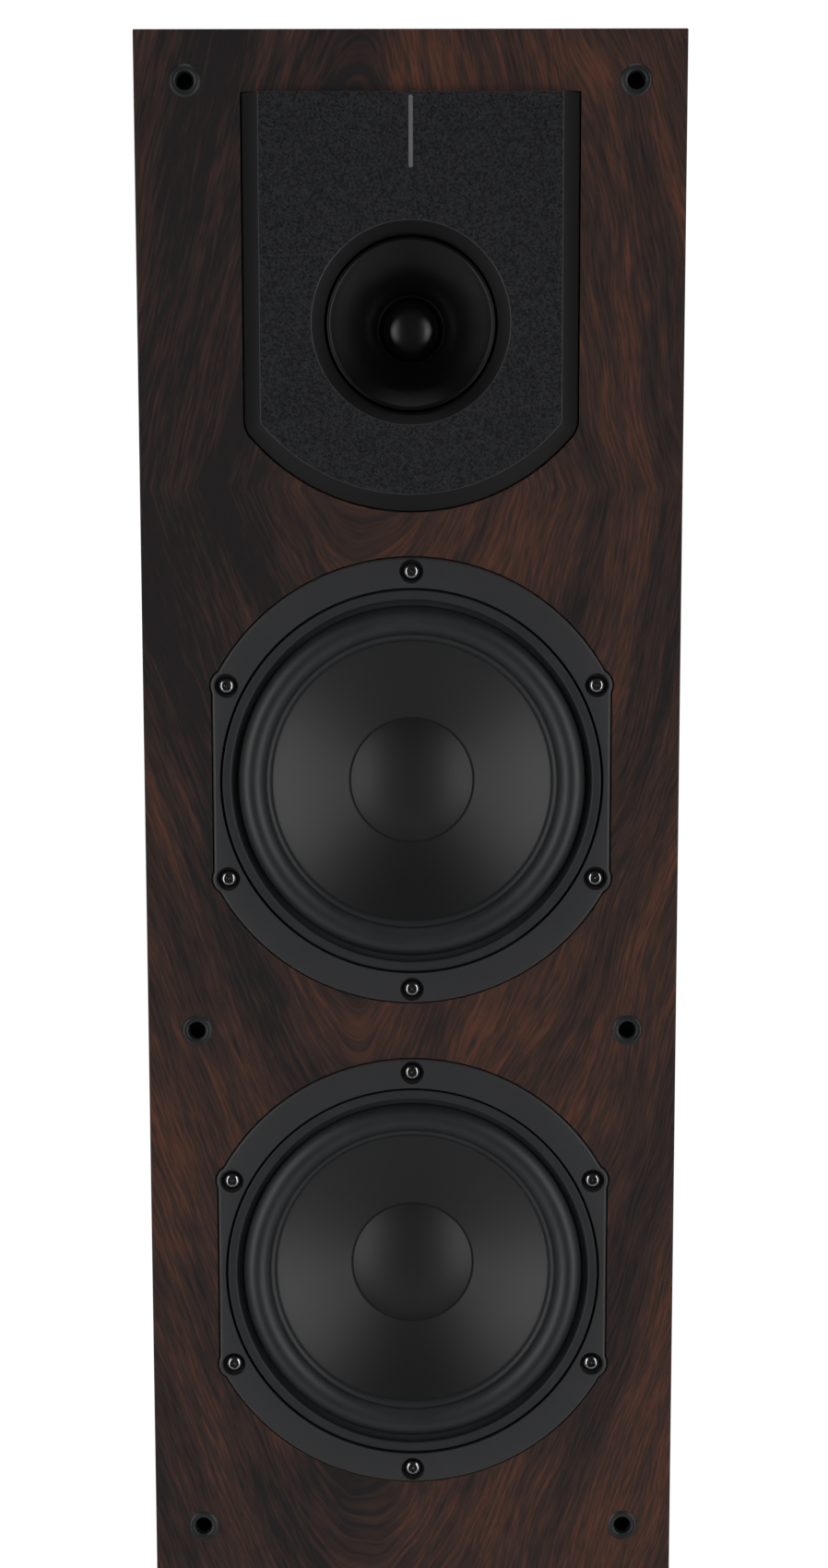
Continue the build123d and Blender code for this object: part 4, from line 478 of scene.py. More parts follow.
def make_finishes(tints):
    """Every finish of the loudspeaker, by name."""
    black = (0.012, 0.012, 0.013)
    made = {
        "wood_wrap": wood_wrap(tints),
        "plate_metal": grained_plate(tints),
        "fibreboard": loose_fibre("Raw Fibreboard", (0.20, 0.13, 0.075), 900.0),
        "wadding": loose_fibre("Polyester Wadding", (0.55, 0.56, 0.56), 300.0),
        "rear_black": moulded("Rear Laminate", (0.016, 0.016, 0.017), 0.48, 1400.0, 0.10, 0.18),
        "plinth_paint": moulded("Plinth Paint", (0.012, 0.012, 0.013), 0.34, 2200.0, 0.05, 0.10),
        "socket_plastic": moulded("Socket Plastic", (0.011, 0.012, 0.013), 0.42, 2600.0, 0.04, 0.15),
        # Painted shade: the socket bores get a near-black, dull copy of the socket plastic.
        "socket_dark": moulded("Socket Bore", (0.002, 0.002, 0.002), 0.8, 2600.0, 0.02, 0.1, Specular_IOR_Level=0.1),
        "mark_grey": moulded("Printed Bar Grey", (0.13, 0.13, 0.135), 0.5, 3000.0, 0.05, 0.35),
        "horn_plastic": moulded(
            "Horn Lacquer", (0.0018, 0.0018, 0.0019), 0.36, 2400.0, 0.03, 0.08, Specular_IOR_Level=0.24
        ),
        "dome_fabric": woven("Dome Cloth", (0.004, 0.004, 0.0045), 0.00035, 0.02, 0.24, 0.9),
        "dome_roll": woven("Dome Roll Cloth", (0.004, 0.004, 0.0045), 0.00035, 0.03, 0.55, 0.3),
        "roll_rubber": rolled_rubber("Surround Rubber", tuple(tints.rubber), 0.50),
        "trim_rubber": rolled_rubber(
            "Trim Ring Rubber", (0.0085, 0.0098, 0.0125), 0.6, 2600.0, (0.020, 0.023, 0.028)
        ),
        "gasket_foam": loose_fibre("Gasket Foam", (0.02, 0.02, 0.02), 2500.0),
        "basket_metal": moulded("Flange Paint", tuple(tints.flange), 0.50, 1700.0, 0.05, 0.10),
        "spider_cloth": woven("Spider Cloth", (0.42, 0.27, 0.10), 0.0007, 0.12),
        "coil_copper": wound_wire("Coil Wire", (0.78, 0.33, 0.16), 0.0005, 1),
        "choke_copper": wound_wire("Choke Wire", (0.78, 0.33, 0.16), 0.0012, 1),
        "magnet_ferrite": moulded("Ferrite", (0.035, 0.035, 0.037), 0.62, 1100.0, 0.12, 0.22),
        "motor_steel": moulded("Zinc Plated Steel", (0.42, 0.43, 0.45), 0.36, 700.0, 0.03, 0.18, 1.0),
        "screw_black": moulded("Black Nickel", (0.26, 0.26, 0.27), 0.20, 1800.0, 0.02, 0.20, 1.0),
        "terminal_plastic": moulded("Terminal Nylon", (0.03, 0.03, 0.032), 0.45, 2200.0, 0.04, 0.10),
        "board_green": moulded("Board Lacquer", (0.012, 0.11, 0.04), 0.34, 900.0, 0.05, 0.20),
        "capacitor_film": moulded("Capacitor Sleeve", (0.50, 0.075, 0.03), 0.38, 1300.0, 0.03, 0.12),
        "resistor_ceramic": moulded("Resistor Ceramic", (0.62, 0.60, 0.54), 0.78, 1500.0, 0.12, 0.12),
        "wire_jacket": moulded("Lead Jacket", (0.02, 0.02, 0.022), 0.42, 1600.0, 0.04, 0.15),
        "port_plastic": moulded("Port Plastic", (0.014, 0.014, 0.015), 0.50, 1500.0, 0.10, 0.12),
        "cup_plastic": moulded("Cup Plastic", (0.013, 0.013, 0.014), 0.46, 1700.0, 0.10, 0.12),
        "knob_red": moulded("Red Knob", (0.42, 0.012, 0.010), 0.30, 1500.0, 0.03, 0.10, Coat_Weight=0.25),
        "knob_black": moulded("Black Knob", (0.010, 0.010, 0.011), 0.30, 1500.0, 0.03, 0.10, Coat_Weight=0.25),
        "washer_red": moulded("Red Washer", (0.40, 0.012, 0.010), 0.42, 1700.0, 0.04, 0.12),
        "washer_black": moulded("Black Washer", (0.012, 0.012, 0.013), 0.42, 1700.0, 0.04, 0.12),
        "post_gold": brushed("Gold Plate", (0.90, 0.62, 0.24), 0.24, CUP),
        "foot_steel": moulded("Foot Steel", (0.50, 0.50, 0.52), 0.28, 1200.0, 0.03, 0.15, 1.0),
        "foot_rubber": rolled_rubber("Foot Rubber", (0.013, 0.013, 0.014), 0.66),
    }
    for side, place in WOOFERS.items():
        made[f"{side}_cone"] = cone_paper(f"{side.title()} Cone Paper", tuple(tints.cone), place)
        made[f"{side}_cap"] = cone_paper(f"{side.title()} Cap Coating", tuple(c * 1.05 for c in tints.cone), place)
    return made


FINISHES = {}


def finish_of(name):
    """A finish by name. All of them are made the first time one is asked for."""
    if not FINISHES:
        FINISHES.update(make_finishes(bpy.context.scene.speaker_finishes))
    return FINISHES[name]


# ------------------------------------------------------------------- meshes
def axes(place, facing):
    """Matrix that puts local millimetres at a place, with local +Z along facing."""
    turns = {
        "front": Matrix.Rotation(math.pi / 2, 4, "X"),
        "rear": Matrix.Rotation(-math.pi / 2, 4, "X"),
        "up": Matrix.Identity(4),
    }
    return Matrix.Translation(place) @ turns[facing] @ Matrix.Scale(MM, 4)


def rounded(corners, closed=True, steps=5):
    """Section points from corners given as (radius, height[, rounding])."""
    points = []
    count = len(corners)
    for i, corner in enumerate(corners):
        here = Vector(corner[:2])
        size = corner[2] if len(corner) > 2 else 0
        if not size or (not closed and i in (0, count - 1)):
            points.append(here)
            continue
        before = Vector(corners[i - 1][:2]) - here
        after = Vector(corners[(i + 1) % count][:2]) - here
        start = here + before.normalized() * min(size, before.length * 0.49)
        end = here + after.normalized() * min(size, after.length * 0.49)
        for step in range(steps + 1):
            t = step / steps
            points.append(start * (1 - t) ** 2 + here * 2 * t * (1 - t) + end * t * t)
    return points


def arc(centre, radius, start, end, steps=16):
    """Points of an arc, with its angles in degrees."""
    return [
        (
            centre[0] + radius * math.cos(math.radians(start + (end - start) * i / steps)),
            centre[1] + radius * math.sin(math.radians(start + (end - start) * i / steps)),
        )
        for i in range(steps + 1)
    ]


def bezier(a, b, c, d, steps=24):
    """Points of a cubic curve."""
    return [
        tuple(
            a[k] * (1 - t) ** 3 + 3 * b[k] * t * (1 - t) ** 2 + 3 * c[k] * t * t * (1 - t) + d[k] * t**3
            for k in (0, 1)
        )
        for t in (i / steps for i in range(steps + 1))
    ]


def skin(rings, closed):
    """A mesh through rings of local points. A ring of one point is a pole."""
    mesh = bmesh.new()
    made = [[mesh.verts.new(point) for point in ring] for ring in rings]
    pairs = list(zip(made, made[1:])) + ([(made[-1], made[0])] if closed else [])
    for low, high in pairs:
        count = max(len(low), len(high))
        for i in range(count):
            j = (i + 1) % count
            corners = []
            for vertex in (low[i % len(low)], low[j % len(low)], high[j % len(high)], high[i % len(high)]):
                if vertex not in corners:
                    corners.append(vertex)
            if len(corners) > 2:
                mesh.faces.new(corners)
    return mesh


def turned(section, segments=192, closed=True):
    """A solid of revolution about local Z, from (radius, height) points."""
    rings = []
    for radius, height in section:
        if radius < 1e-6:
            rings.append([(0, 0, height)])
        else:
            rings.append(
                [
                    (
                        radius * math.cos(2 * math.pi * i / segments),
                        radius * math.sin(2 * math.pi * i / segments),
                        height,
                    )
                    for i in range(segments)
                ]
            )
    return skin(rings, closed)


def close_ends(mesh):
    """Fill the open ends of a skin."""
    edges = [edge for edge in mesh.edges if edge.is_boundary]
    bmesh.ops.holes_fill(mesh, edges=edges)


def box_mesh(low, high):
    """A plain block, as a cutter or the start of a piece."""
    mesh = bmesh.new()
    bmesh.ops.create_cube(mesh, size=1.0)
    low, high = Vector(low), Vector(high)
    size = high - low
    for vertex in mesh.verts:
        vertex.co = (low + high) / 2 + Vector(c * s for c, s in zip(vertex.co, size))
    return mesh


def merged(meshes):
    """Several meshes as one."""
    whole = bmesh.new()
    for mesh in meshes:
        part = bpy.data.meshes.new("part")
        mesh.to_mesh(part)
        mesh.free()
        whole.from_mesh(part)
        bpy.data.meshes.remove(part)
    return whole


def place_mesh(name, mesh, matrix=None, sharp=32, recalc=True):
    """Make an object at the origin from a mesh in local millimetres, with its place in its points."""
    if matrix is not None:
        mesh.transform(matrix)
    if recalc:
        bmesh.ops.recalc_face_normals(mesh, faces=mesh.faces)
    data = bpy.data.meshes.new(name)
    mesh.to_mesh(data)
    mesh.free()
    if sharp:
        smooth(data, sharp)
    piece = bpy.data.objects.new(name, data)
    bpy.context.scene.collection.objects.link(piece)
    return piece


def smooth(data, sharp=32):
    """Smooth faces, with edges sharper than an angle kept sharp."""
    data.shade_smooth()
    data.set_sharp_from_angle(angle=math.radians(sharp))


def applied(piece):
    """The piece with its modifiers made part of its mesh."""
    data = bpy.data.meshes.new_from_object(piece.evaluated_get(bpy.context.evaluated_depsgraph_get()))
    piece.modifiers.clear()
    old = piece.data
    piece.data = data
    if isinstance(old, bpy.types.Mesh) and old.users == 0:
        bpy.data.meshes.remove(old)
    return piece


def cut(piece, cutters, operation="DIFFERENCE"):
    """Cut solids out of a piece, or join them to it, and drop them."""
    for cutter in cutters:
        modifier = piece.modifiers.new("Cut", "BOOLEAN")
        modifier.operation = operation
        modifier.solver = "EXACT"
        modifier.object = cutter
    applied(piece)
    smooth(piece.data)
    for cutter in cutters:
        bpy.data.objects.remove(cutter)
    return piece


def pins(places, radius, low, high, matrix, segments=32):
    """One cutter of round pins at local places, from one height to another."""
    cutters = []
    for x, y in places:
        pin = turned([(0, low), (radius, low), (radius, high), (0, high)], segments, closed=False)
        pin.transform(Matrix.Translation((x, y, 0)))
        cutters.append(pin)
    return place_mesh("pins", merged(cutters), matrix)


def settle(piece, body, finish, slot, *nodes):
    """Ride, replace and finish a piece."""
    if finish:
        piece.data.materials.clear()
        piece.data.materials.append(finish_of(finish))
    if body:
        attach(piece, body)
    if nodes:
        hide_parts(*nodes)
    return piece


def dress(node, finish):
    """Give a frame node its finish."""
    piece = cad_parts[node]
    piece.data.materials.clear()
    piece.data.materials.append(finish_of(finish))


# ----------------------------------------------------------- geometry nodes
class Making(Graph):
    """A geometry tree with named inputs, run on a piece and then made a plain mesh."""

    KINDS = {
        "geometry": "NodeSocketGeometry",
        "length": "NodeSocketFloat",
        "count": "NodeSocketInt",
        "object": "NodeSocketObject",
        "vector": "NodeSocketVector",
        "material": "NodeSocketMaterial",
    }

    def __init__(self, name, **inputs):
        super().__init__(bpy.data.node_groups.new(name, "GeometryNodeTree"))
        face = self.tree.interface
        face.new_socket("Geometry", in_out="INPUT", socket_type=self.KINDS["geometry"])
        for label, kind in inputs.items():
            face.new_socket(label.replace("_", " ").title(), in_out="INPUT", socket_type=self.KINDS[kind])
        face.new_socket("Geometry", in_out="OUTPUT", socket_type=self.KINDS["geometry"])
        node = self.tree.nodes.new("NodeGroupInput")
        self.inputs = {socket.name: Value(self, socket) for socket in node.outputs if socket.name}

    def close(self, geometry):
        """End the tree in plain, finished geometry."""
        real = self.add("GeometryNodeRealizeInstances", None, {"Geometry": geometry})
        done = self.add("GeometryNodeSetMaterial", None, {"Geometry": real, "Material": self.inputs["Material"]})
        self.add("NodeGroupOutput", None, {0: done})

    def run(self, piece, **values):
        """Run the tree on a piece with these input values and keep its mesh."""
        modifier = piece.modifiers.new(self.tree.name, "NODES")
        modifier.node_group = self.tree
        for item in self.tree.interface.items_tree:
            key = item.name.lower().replace(" ", "_")
            if item.in_out == "INPUT" and key in values:
                modifier[item.identifier] = values[key]
        applied(piece)
        smooth(piece.data)
        return piece


def fittings_tree():
    """One fitting at each point of the piece, facing the point's own way and turned at random."""
    tree = Making("Placed Fittings", fitting="object", size="length", seed="count", material="material")
    inputs = tree.inputs
    fitting = tree.add("GeometryNodeObjectInfo", None, {"Object": inputs["Fitting"], "As Instance": True}, "Geometry")
    facing = tree.add("GeometryNodeInputNamedAttribute", {"data_type": "FLOAT_VECTOR"}, {"Name": "facing"})
    aim = tree.add("FunctionNodeAlignRotationToVector", {"axis": "Z"}, {"Vector": facing})
    angle = tree.add(
        "FunctionNodeRandomValue", {"data_type": "FLOAT"}, {2: 0.0, 3: 2 * math.pi, "Seed": inputs["Seed"]}, 1
    )
    twist = tree.add("FunctionNodeAxisAngleToRotation", None, {"Axis": (0.0, 0.0, 1.0), "Angle": angle})
    turn = tree.add("FunctionNodeRotateRotation", {"rotation_space": "LOCAL"}, {0: aim, 1: twist})
    placed = tree.add(
        "GeometryNodeInstanceOnPoints",
        None,
        {"Points": inputs["Geometry"], "Instance": fitting, "Rotation": turn, "Scale": inputs["Size"]},
    )
    tree.close(placed)
    return tree


def notched_tree():
    """A turned body with a ring of notches round it, set at its place."""
    tree = Making(
        "Notched Wheel",
        notches="count",
        circle_radius="length",
        notch_radius="length",
        notch_length="length",
        notch_middle="length",
        place="vector",
        turn="vector",
        size="length",
        material="material",
    )
    inputs = tree.inputs
    circle = tree.add(
        "GeometryNodeMeshCircle", None, {"Vertices": inputs["Notches"], "Radius": inputs["Circle Radius"]}
    )
    pin = tree.add(
        "GeometryNodeMeshCylinder",
        None,
        {"Vertices": 16, "Radius": inputs["Notch Radius"], "Depth": inputs["Notch Length"]},
    )
    notch_height = tree.vector(0.0, 0.0, inputs["Notch Middle"])
    raised = tree.add("GeometryNodeTransform", None, {0: circle, "Translation": notch_height})
    cutters = tree.add("GeometryNodeInstanceOnPoints", None, {"Points": raised, "Instance": pin})
    cutters = tree.add("GeometryNodeRealizeInstances", None, {"Geometry": cutters})
    body = tree.add(
        "GeometryNodeMeshBoolean",
        {"operation": "DIFFERENCE", "solver": "EXACT"},
        {"Mesh 1": inputs["Geometry"], "Mesh 2": cutters},
    )
    size = tree.vector(inputs["Size"], inputs["Size"], inputs["Size"])
    placed = tree.add(
        "GeometryNodeTransform",
        None,
        {0: body, "Translation": inputs["Place"], "Rotation": inputs["Turn"], "Scale": size},
    )
    tree.close(placed)
    return tree


def rolled_tree():
    """A thin turned sheet: flat feet inside and outside, and half waves between them."""
    tree = Making(
        "Rolled Ring",
        inner_edge="length",
        roll_inner="length",
        roll_outer="length",
        outer_edge="length",
        depth="length",
        height="length",
        waves="length",
        fullness="length",
        drop="length",
        thickness="length",
        segments="count",
        steps="count",
        place="vector",
        material="material",
    )
    inputs = tree.inputs
    grid = tree.add(
        "GeometryNodeMeshGrid",
        None,
        {"Size X": 1.0, "Size Y": 1.0, "Vertices X": inputs["Segments"], "Vertices Y": inputs["Steps"]},
    )
    x, y, _ = tree.parts(tree.add("GeometryNodeInputPosition"))
    angle = (x + 0.5) * (2 * math.pi)
    radius = inputs["Inner Edge"] + (y + 0.5) * (inputs["Outer Edge"] - inputs["Inner Edge"])
    along = tree.add(
        "ShaderNodeMapRange", None, {0: radius, 1: inputs["Roll Inner"], 2: inputs["Roll Outer"], 3: 0.0, 4: 1.0}
    )
    wave = (along * inputs["Waves"] * math.pi).sine()
    lift = wave.sign() * wave.size() ** inputs["Fullness"] * inputs["Height"]
    inside = tree.add(
        "ShaderNodeMapRange", None, {0: radius, 1: inputs["Inner Edge"], 2: inputs["Roll Inner"], 3: 1.0, 4: 0.0}
    )
    depth = inputs["Depth"] - lift + inputs["Drop"] * inside * inside
    bent = tree.add(
        "GeometryNodeSetPosition",
        None,
        {"Geometry": grid, "Position": tree.vector(radius * angle.cosine(), depth, radius * angle.sine())},
    )
    sheet = tree.add("GeometryNodeMergeByDistance", None, {"Geometry": bent, "Distance": 1e-6})
    front = tree.add(
        "GeometryNodeExtrudeMesh",
        {"mode": "FACES"},
        {"Mesh": sheet, "Offset Scale": inputs["Thickness"], "Individual": False},
    )
    back = tree.add("GeometryNodeFlipFaces", None, {"Mesh": sheet})
    both = tree.add("GeometryNodeJoinGeometry", None, {"Geometry": back})
    tree.tree.links.new(front.socket, both.socket.node.inputs[0])
    shell = tree.add("GeometryNodeMergeByDistance", None, {"Geometry": both, "Distance": 1e-6})
    placed = tree.add("GeometryNodeTransform", None, {0: shell, "Translation": inputs["Place"]})
    tree.close(placed)
    return tree


TREES = {}


def tree_of(name):
    """A geometry tree by name, built the first time it is asked for."""
    if name not in TREES:
        TREES[name] = {"fittings": fittings_tree, "notched": notched_tree, "rolled": rolled_tree}[name]()
    return TREES[name]


def place_fittings(name, model, places, finish, seed):
    """Copies of a model in millimetres at (place, facing) pairs in metres, as one piece."""
    data = bpy.data.meshes.new(name)
    data.from_pydata([tuple(place) for place, _ in places], [], [])
    facing = data.attributes.new("facing", "FLOAT_VECTOR", "POINT")
    facing.data.foreach_set("vector", [c for _, way in places for c in way])
    piece = bpy.data.objects.new(name, data)
    bpy.context.scene.collection.objects.link(piece)
    tree_of("fittings").run(piece, fitting=model, size=MM, seed=seed, material=finish_of(finish))
    bpy.data.objects.remove(model)
    return piece


# --------------------------------------------------------- parts of a cabinet
def unrolled(data):
    """Map of the wrap, unrolled from the front: metres across, and metres up."""
    layer = data.uv_layers.new(name="Wrap")
    for polygon in data.polygons:
        way = polygon.normal
        for loop in polygon.loop_indices:
            point = data.vertices[data.loops[loop].vertex_index].co
            behind = point.y - FRONT_Y
            if abs(way.x) > 0.7:
                side = math.copysign(1.0, way.x)
                layer.data[loop].uv = (side * (SIDE_X + behind), point.z)
            elif abs(way.z) > 0.7:
                layer.data[loop].uv = (point.x, TOP_Z + math.copysign(behind, way.z))
            else:
                layer.data[loop].uv = (point.x, point.z)


def on_wrap(point):
    """How many of the cabinet's outer planes a point lies on, and which."""
    planes = (
        abs(abs(point.x) - SIDE_X) < 1e-5,
        abs(point.y - FRONT_Y) < 1e-5 or abs(point.y - REAR_Y) < 1e-5,
        abs(point.z - TOP_Z) < 1e-5 or abs(point.z - FLOOR_Z) < 1e-5,
    )
    return planes


def wrapped_panel(node, edge):
    """A cabinet panel with its outer corners eased, wrapped outside and raw board inside."""
    mesh = bmesh.new()
    mesh.from_mesh(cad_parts[node].data)
    bmesh.ops.remove_doubles(mesh, verts=mesh.verts, dist=1e-6)
    bmesh.ops.dissolve_limit(mesh, angle_limit=math.radians(0.5), verts=mesh.verts, edges=mesh.edges)
    outer = []
    for item in mesh.edges:
        first, second = (on_wrap(vertex.co) for vertex in item.verts)
        if sum(a and b for a, b in zip(first, second)) >= 2 and len(item.link_faces) == 2:
            outer.append(item)
    if outer:
        bmesh.ops.bevel(mesh, geom=outer, offset=edge, segments=3, profile=0.5, affect="EDGES")
    bmesh.ops.triangulate(mesh, faces=[face for face in mesh.faces if len(face.verts) > 4])
    piece = place_mesh(f"{node}_wrapped", mesh, None, 0, recalc=False)
    piece.data.shade_flat()
    data = piece.data
    unrolled(data)
    data.materials.append(finish_of("wood_wrap"))
    data.materials.append(finish_of("fibreboard"))
    ease = edge * 1.5
    for polygon in data.polygons:
        middle_point = polygon.center
        outside = (
            abs(middle_point.x) > SIDE_X - ease
            or middle_point.y < FRONT_Y + ease
            or middle_point.z > TOP_Z - ease
            or middle_point.z < FLOOR_Z + ease
            or (middle_point.y > REAR_Y - ease and node != "rear_panel")
        )
        polygon.material_index = 0 if outside else 1
    return settle(piece, "cabinet", None, "wood_wrap", node)


# ---------------------------------------------------------------- operators
class SPEAKER_OT_cabinet(bpy.types.Operator):
    """Wood-wrapped panels, the black rear panel and the bracing inside"""

    bl_idname = "speaker.cabinet"
    bl_label = "Cabinet"

    def execute(self, context):
        sizes = context.scene.speaker_cabinet
        for node in ("front_baffle", "left_side_panel", "right_side_panel", "top_panel", "bottom_panel"):
            wrapped_panel(node, sizes.edge)
        dress("rear_panel", "rear_black")
        dress("window_braces", "fibreboard")
        dress("damping_lining", "wadding")
        return {"FINISHED"}


class SPEAKER_OT_sockets(bpy.types.Operator):
    """Six press-in sockets for the pins of a cloth grille"""

    bl_idname = "speaker.sockets"
    bl_label = "Grille sockets"

    def execute(self, context):
        sizes = context.scene.speaker_cabinet
        rim = sizes.socket_radius / MM
        edge = sizes.socket_edge / MM
        section = rounded(
            [
                (0, -10.9),
                (3.2, -10.9),
                (3.2, -0.4),
                (3.75, 0.55, edge),
                (rim - 0.9, 0.8, edge),
                (rim, 0.0, 0.2),
                (rim, -0.02),
                (5.0, -0.02),
                (5.0, -13.2),
                (4.2, -14.0),
                (0, -14.0),
            ],
            closed=False,
        )
        model = place_mesh("socket_model", turned(section, 48, closed=False))
        low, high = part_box("grille_sockets")
        spread = high.x - rim * MM
        rows = (high.z - rim * MM, low.z + rim * MM)
        middle_row = (WOOFERS["upper"].z + WOOFERS["lower"].z) / 2 + 0.25 * MM
        places = [
            (Vector((side * spread, FRONT_Y, z)), Vector((0, -1, 0)))
            for z in (rows[0], middle_row, rows[1])
            for side in (-1, 1)
        ]
        piece = place_fittings("grille_socket_set", model, places, "socket_plastic", 3)
        # Faces deeper than the rim, the bores, take the near-black finish as painted shade in the holes.
        piece.data.materials.append(finish_of("socket_dark"))
        for polygon in piece.data.polygons:
            if polygon.center.y > FRONT_Y + 0.5 * MM:
                polygon.material_index = 1
        settle(piece, "cabinet", None, "socket_plastic", "grille_sockets")
        return {"FINISHED"}


def plate_ring(sizes, inset, top_inset, height):
    """One outline of the waveguide plate, set in from its edge."""
    half = sizes.half_width / MM - inset
    top = sizes.top / MM - top_inset
    arc_radius = sizes.arc_radius / MM
    arc_middle = arc_radius - sizes.bottom / MM
    corner = sizes.corner / MM
    corner_x = sizes.half_width / MM - corner
    corner_y = arc_middle - math.sqrt((arc_radius - corner) ** 2 - corner_x**2)
    meet = math.degrees(math.atan2(corner_y - arc_middle, corner_x))
    right = [(half, corner_y + (top - corner_y) * i / 60) for i in range(60, 0, -1)]
    right += arc((corner_x, corner_y), corner - inset, 0, meet, 16)
    low = arc((0, arc_middle), arc_radius - inset, meet, -180 - meet, 80)[1:-1]
    left = [(-x, y) for x, y in reversed(right)]
    over = [(half * (2 * i / 60 - 1), top) for i in range(1, 60)]
    return [(x, y, height) for x, y in right + low + left + over]


class SPEAKER_OT_waveguide(bpy.types.Operator):
    """Grained plate over the tweeter, with sloping rims, and its printed bar"""

    bl_idname = "speaker.waveguide"
    bl_label = "Waveguide plate"

    def execute(self, context):
        sizes = context.scene.speaker_tweeter
        bevel, proud = sizes.bevel / MM, sizes.proud / MM
        sink = sizes.countersink / MM
        slope = proud / bevel
        steps = (
            (0.0, 0.0, -6.0),
            (0.0, 0.0, -0.30),
            (0.10, 0.0, -0.08),
            (0.40, 0.0, 0.40 * slope),
            (bevel - 0.30, 0.0, proud - 0.30 * slope),
            (bevel - 0.12, 0.02, proud - 0.045),
            (bevel + 0.10, 0.12, proud),
            (bevel + 0.80, 0.60, proud),
        )
        rings = [plate_ring(sizes, *step) for step in steps]
        outline = rings[-1]
        for radius, height in (
            (sink + 0.5, proud),
            (sink + 0.08, proud),
            (sink - 0.10, proud - 0.06),
            (sink - 0.35, proud - 0.25),
            (33.45, -0.25),
            (33.2, -0.55),
            (33.2, -6.0),
        ):
            ring = []
            for x, y, _ in outline:
                reach = math.hypot(x, y)
                ring.append((x / reach * radius, y / reach * radius, height))
            rings.append(ring)
        matrix = axes(TWEETER, "front")
        plate = place_mesh("waveguide_plate_finished", skin(rings, closed=True), matrix, 20)
        settle(plate, "cabinet", "plate_metal", "plate_metal", "waveguide_plate")

        bar_middle = TWEETER + Vector((0, -proud * MM, 70.4 * MM))
        bar = place_mesh("waveguide_bar", bar_mesh(1.6, 26.5, 0.07), axes(bar_middle, "front"))
        settle(bar, "cabinet", "mark_grey", "plate_metal")
        return {"FINISHED"}


def bar_mesh(wide, high, thick):
    """A slim plain bar with round ends, lying on local Z = 0."""
    rings = []
    for inset, height in ((0.0, -0.02), (0.0, thick * 0.6), (0.06, thick)):
        radius = wide / 2 - inset
        straight = high / 2 - wide / 2
        outline = arc((0, straight), radius, 0, 180, 12) + arc((0, -straight), radius, 180, 360, 12)
        rings.append([(x, y, height) for x, y in outline])
    mesh = skin(rings, closed=False)
    close_ends(mesh)
    return mesh


class SPEAKER_OT_tweeter(bpy.types.Operator):
    """Horn, cloth dome with its roll and voice coil, and the motor behind them"""

    bl_idname = "speaker.tweeter"
    bl_label = "Tweeter"

    def execute(self, context):
        matrix = axes(TWEETER, "front")
        flare = bezier((30.7, 0.30), (25.4, -4.2), (16.0, -10.0), (13.0, -22.0), 40)
        horn = rounded(
            flare
            + [
                (16.5, -23.0),
                (16.5, -24.2),
                (26.0, -24.2),
                (26.0, -21.8, 0.6),
                (18.4, -21.8, 1.5),
                (18.4, -14.0, 2.0),
                (32.5, -9.0, 1.0),
                (42.0, -9.0),
                (42.0, -6.0),
                (32.5, -6.0),
                (32.5, 0.1, 0.55),
                (31.9, 0.78, 0.5),
                (31.25, 0.70, 0.3),
            ]
        )
        piece = place_mesh("tweeter_horn", turned(horn, 256), matrix, 40)
        settle(piece, "cabinet", "horn_plastic", "horn_plastic", "waveguide_horn")
        base, dome_radius, rise, cloth = -24.4, 12.5, 4.6, 0.3
        ball = (dome_radius**2 + rise**2) / (2 * rise)
        low = base + rise - ball
        edge = math.degrees(math.asin(dome_radius / ball))
        dome = [(0, low + ball)] + arc((0, low), ball, 90, 90 - edge, 24)[1:]
        dome += arc((0, low), ball - cloth, 90 - edge, 90, 24)[:-1]
        dome.append((0, low + ball - cloth))
        settle(
            place_mesh("tweeter_dome_cloth", turned(dome, 128, closed=False), matrix),
            "tweeter_diaphragm",
            "dome_fabric",
            "dome_fabric",
            "tweeter_dome",
        )
        roll = bpy.data.objects.new("tweeter_roll", bpy.data.meshes.new("tweeter_roll"))
        context.scene.collection.objects.link(roll)
        tree_of("rolled").run(
            roll,
            inner_edge=12.55 * MM,
            roll_inner=12.8 * MM,
            roll_outer=15.5 * MM,
            outer_edge=22.0 * MM,
            depth=24.55 * MM,
            height=1.0 * MM,
            waves=1.0,
            fullness=0.75,
            drop=0.0,
            thickness=0.28 * MM,
            segments=161,
            steps=41,
            place=TWEETER,
            material=finish_of("dome_roll"),
        )
        bend_piece(roll, TWEETER, 12.8 * MM, 15.5 * MM)
        settle(roll, None, None, "dome_fabric", "tweeter_surround")
        dress("tweeter_voice_coil", "coil_copper")
        dress("tweeter_pole_plate", "motor_steel")
        dress("tweeter_magnet", "magnet_ferrite")
        dress("tweeter_yoke", "motor_steel")
        dress("tweeter_rear_chamber", "terminal_plastic")
        return {"FINISHED"}


def bend_piece(piece, centre, inner, outer):
    """Bake a ring's place into its mesh. The eased share of each point from the inner to the outer radius is worked
    out, but it is not kept.
    """
    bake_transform(piece)
    for vertex in piece.data.vertices:
        radius = math.hypot(vertex.co.x - centre.x, vertex.co.z - centre.z)
        share = min(1.0, max(0.0, (outer - radius) / (outer - inner)))
        share * share * (3 - 2 * share)


def flange_ring(sizes, inset, height, segments=1080):
    """One outline of a woofer flange: a disc with two flats and an ear at each side screw."""
    disc, flat = sizes.flange_radius / MM - inset, sizes.flat / MM - inset
    bolts, ear = sizes.bolt_radius / MM, sizes.ear_radius / MM - inset
    points = []
    for i in range(segments):
        angle = 2 * math.pi * i / segments
        across = abs(math.cos(angle))
        reach = min(disc, flat / across if across > 1e-9 else disc)
        for side in BOLT_ANGLES[:4]:
            off = bolts * math.sin(angle - math.radians(side))
            if abs(off) < ear and math.cos(angle - math.radians(side)) > 0:
                near = bolts * math.cos(angle - math.radians(side))
                reach = max(reach, near + math.sqrt(ear * ear - off * off))
        points.append((reach * math.cos(angle), reach * math.sin(angle), height))
    return points


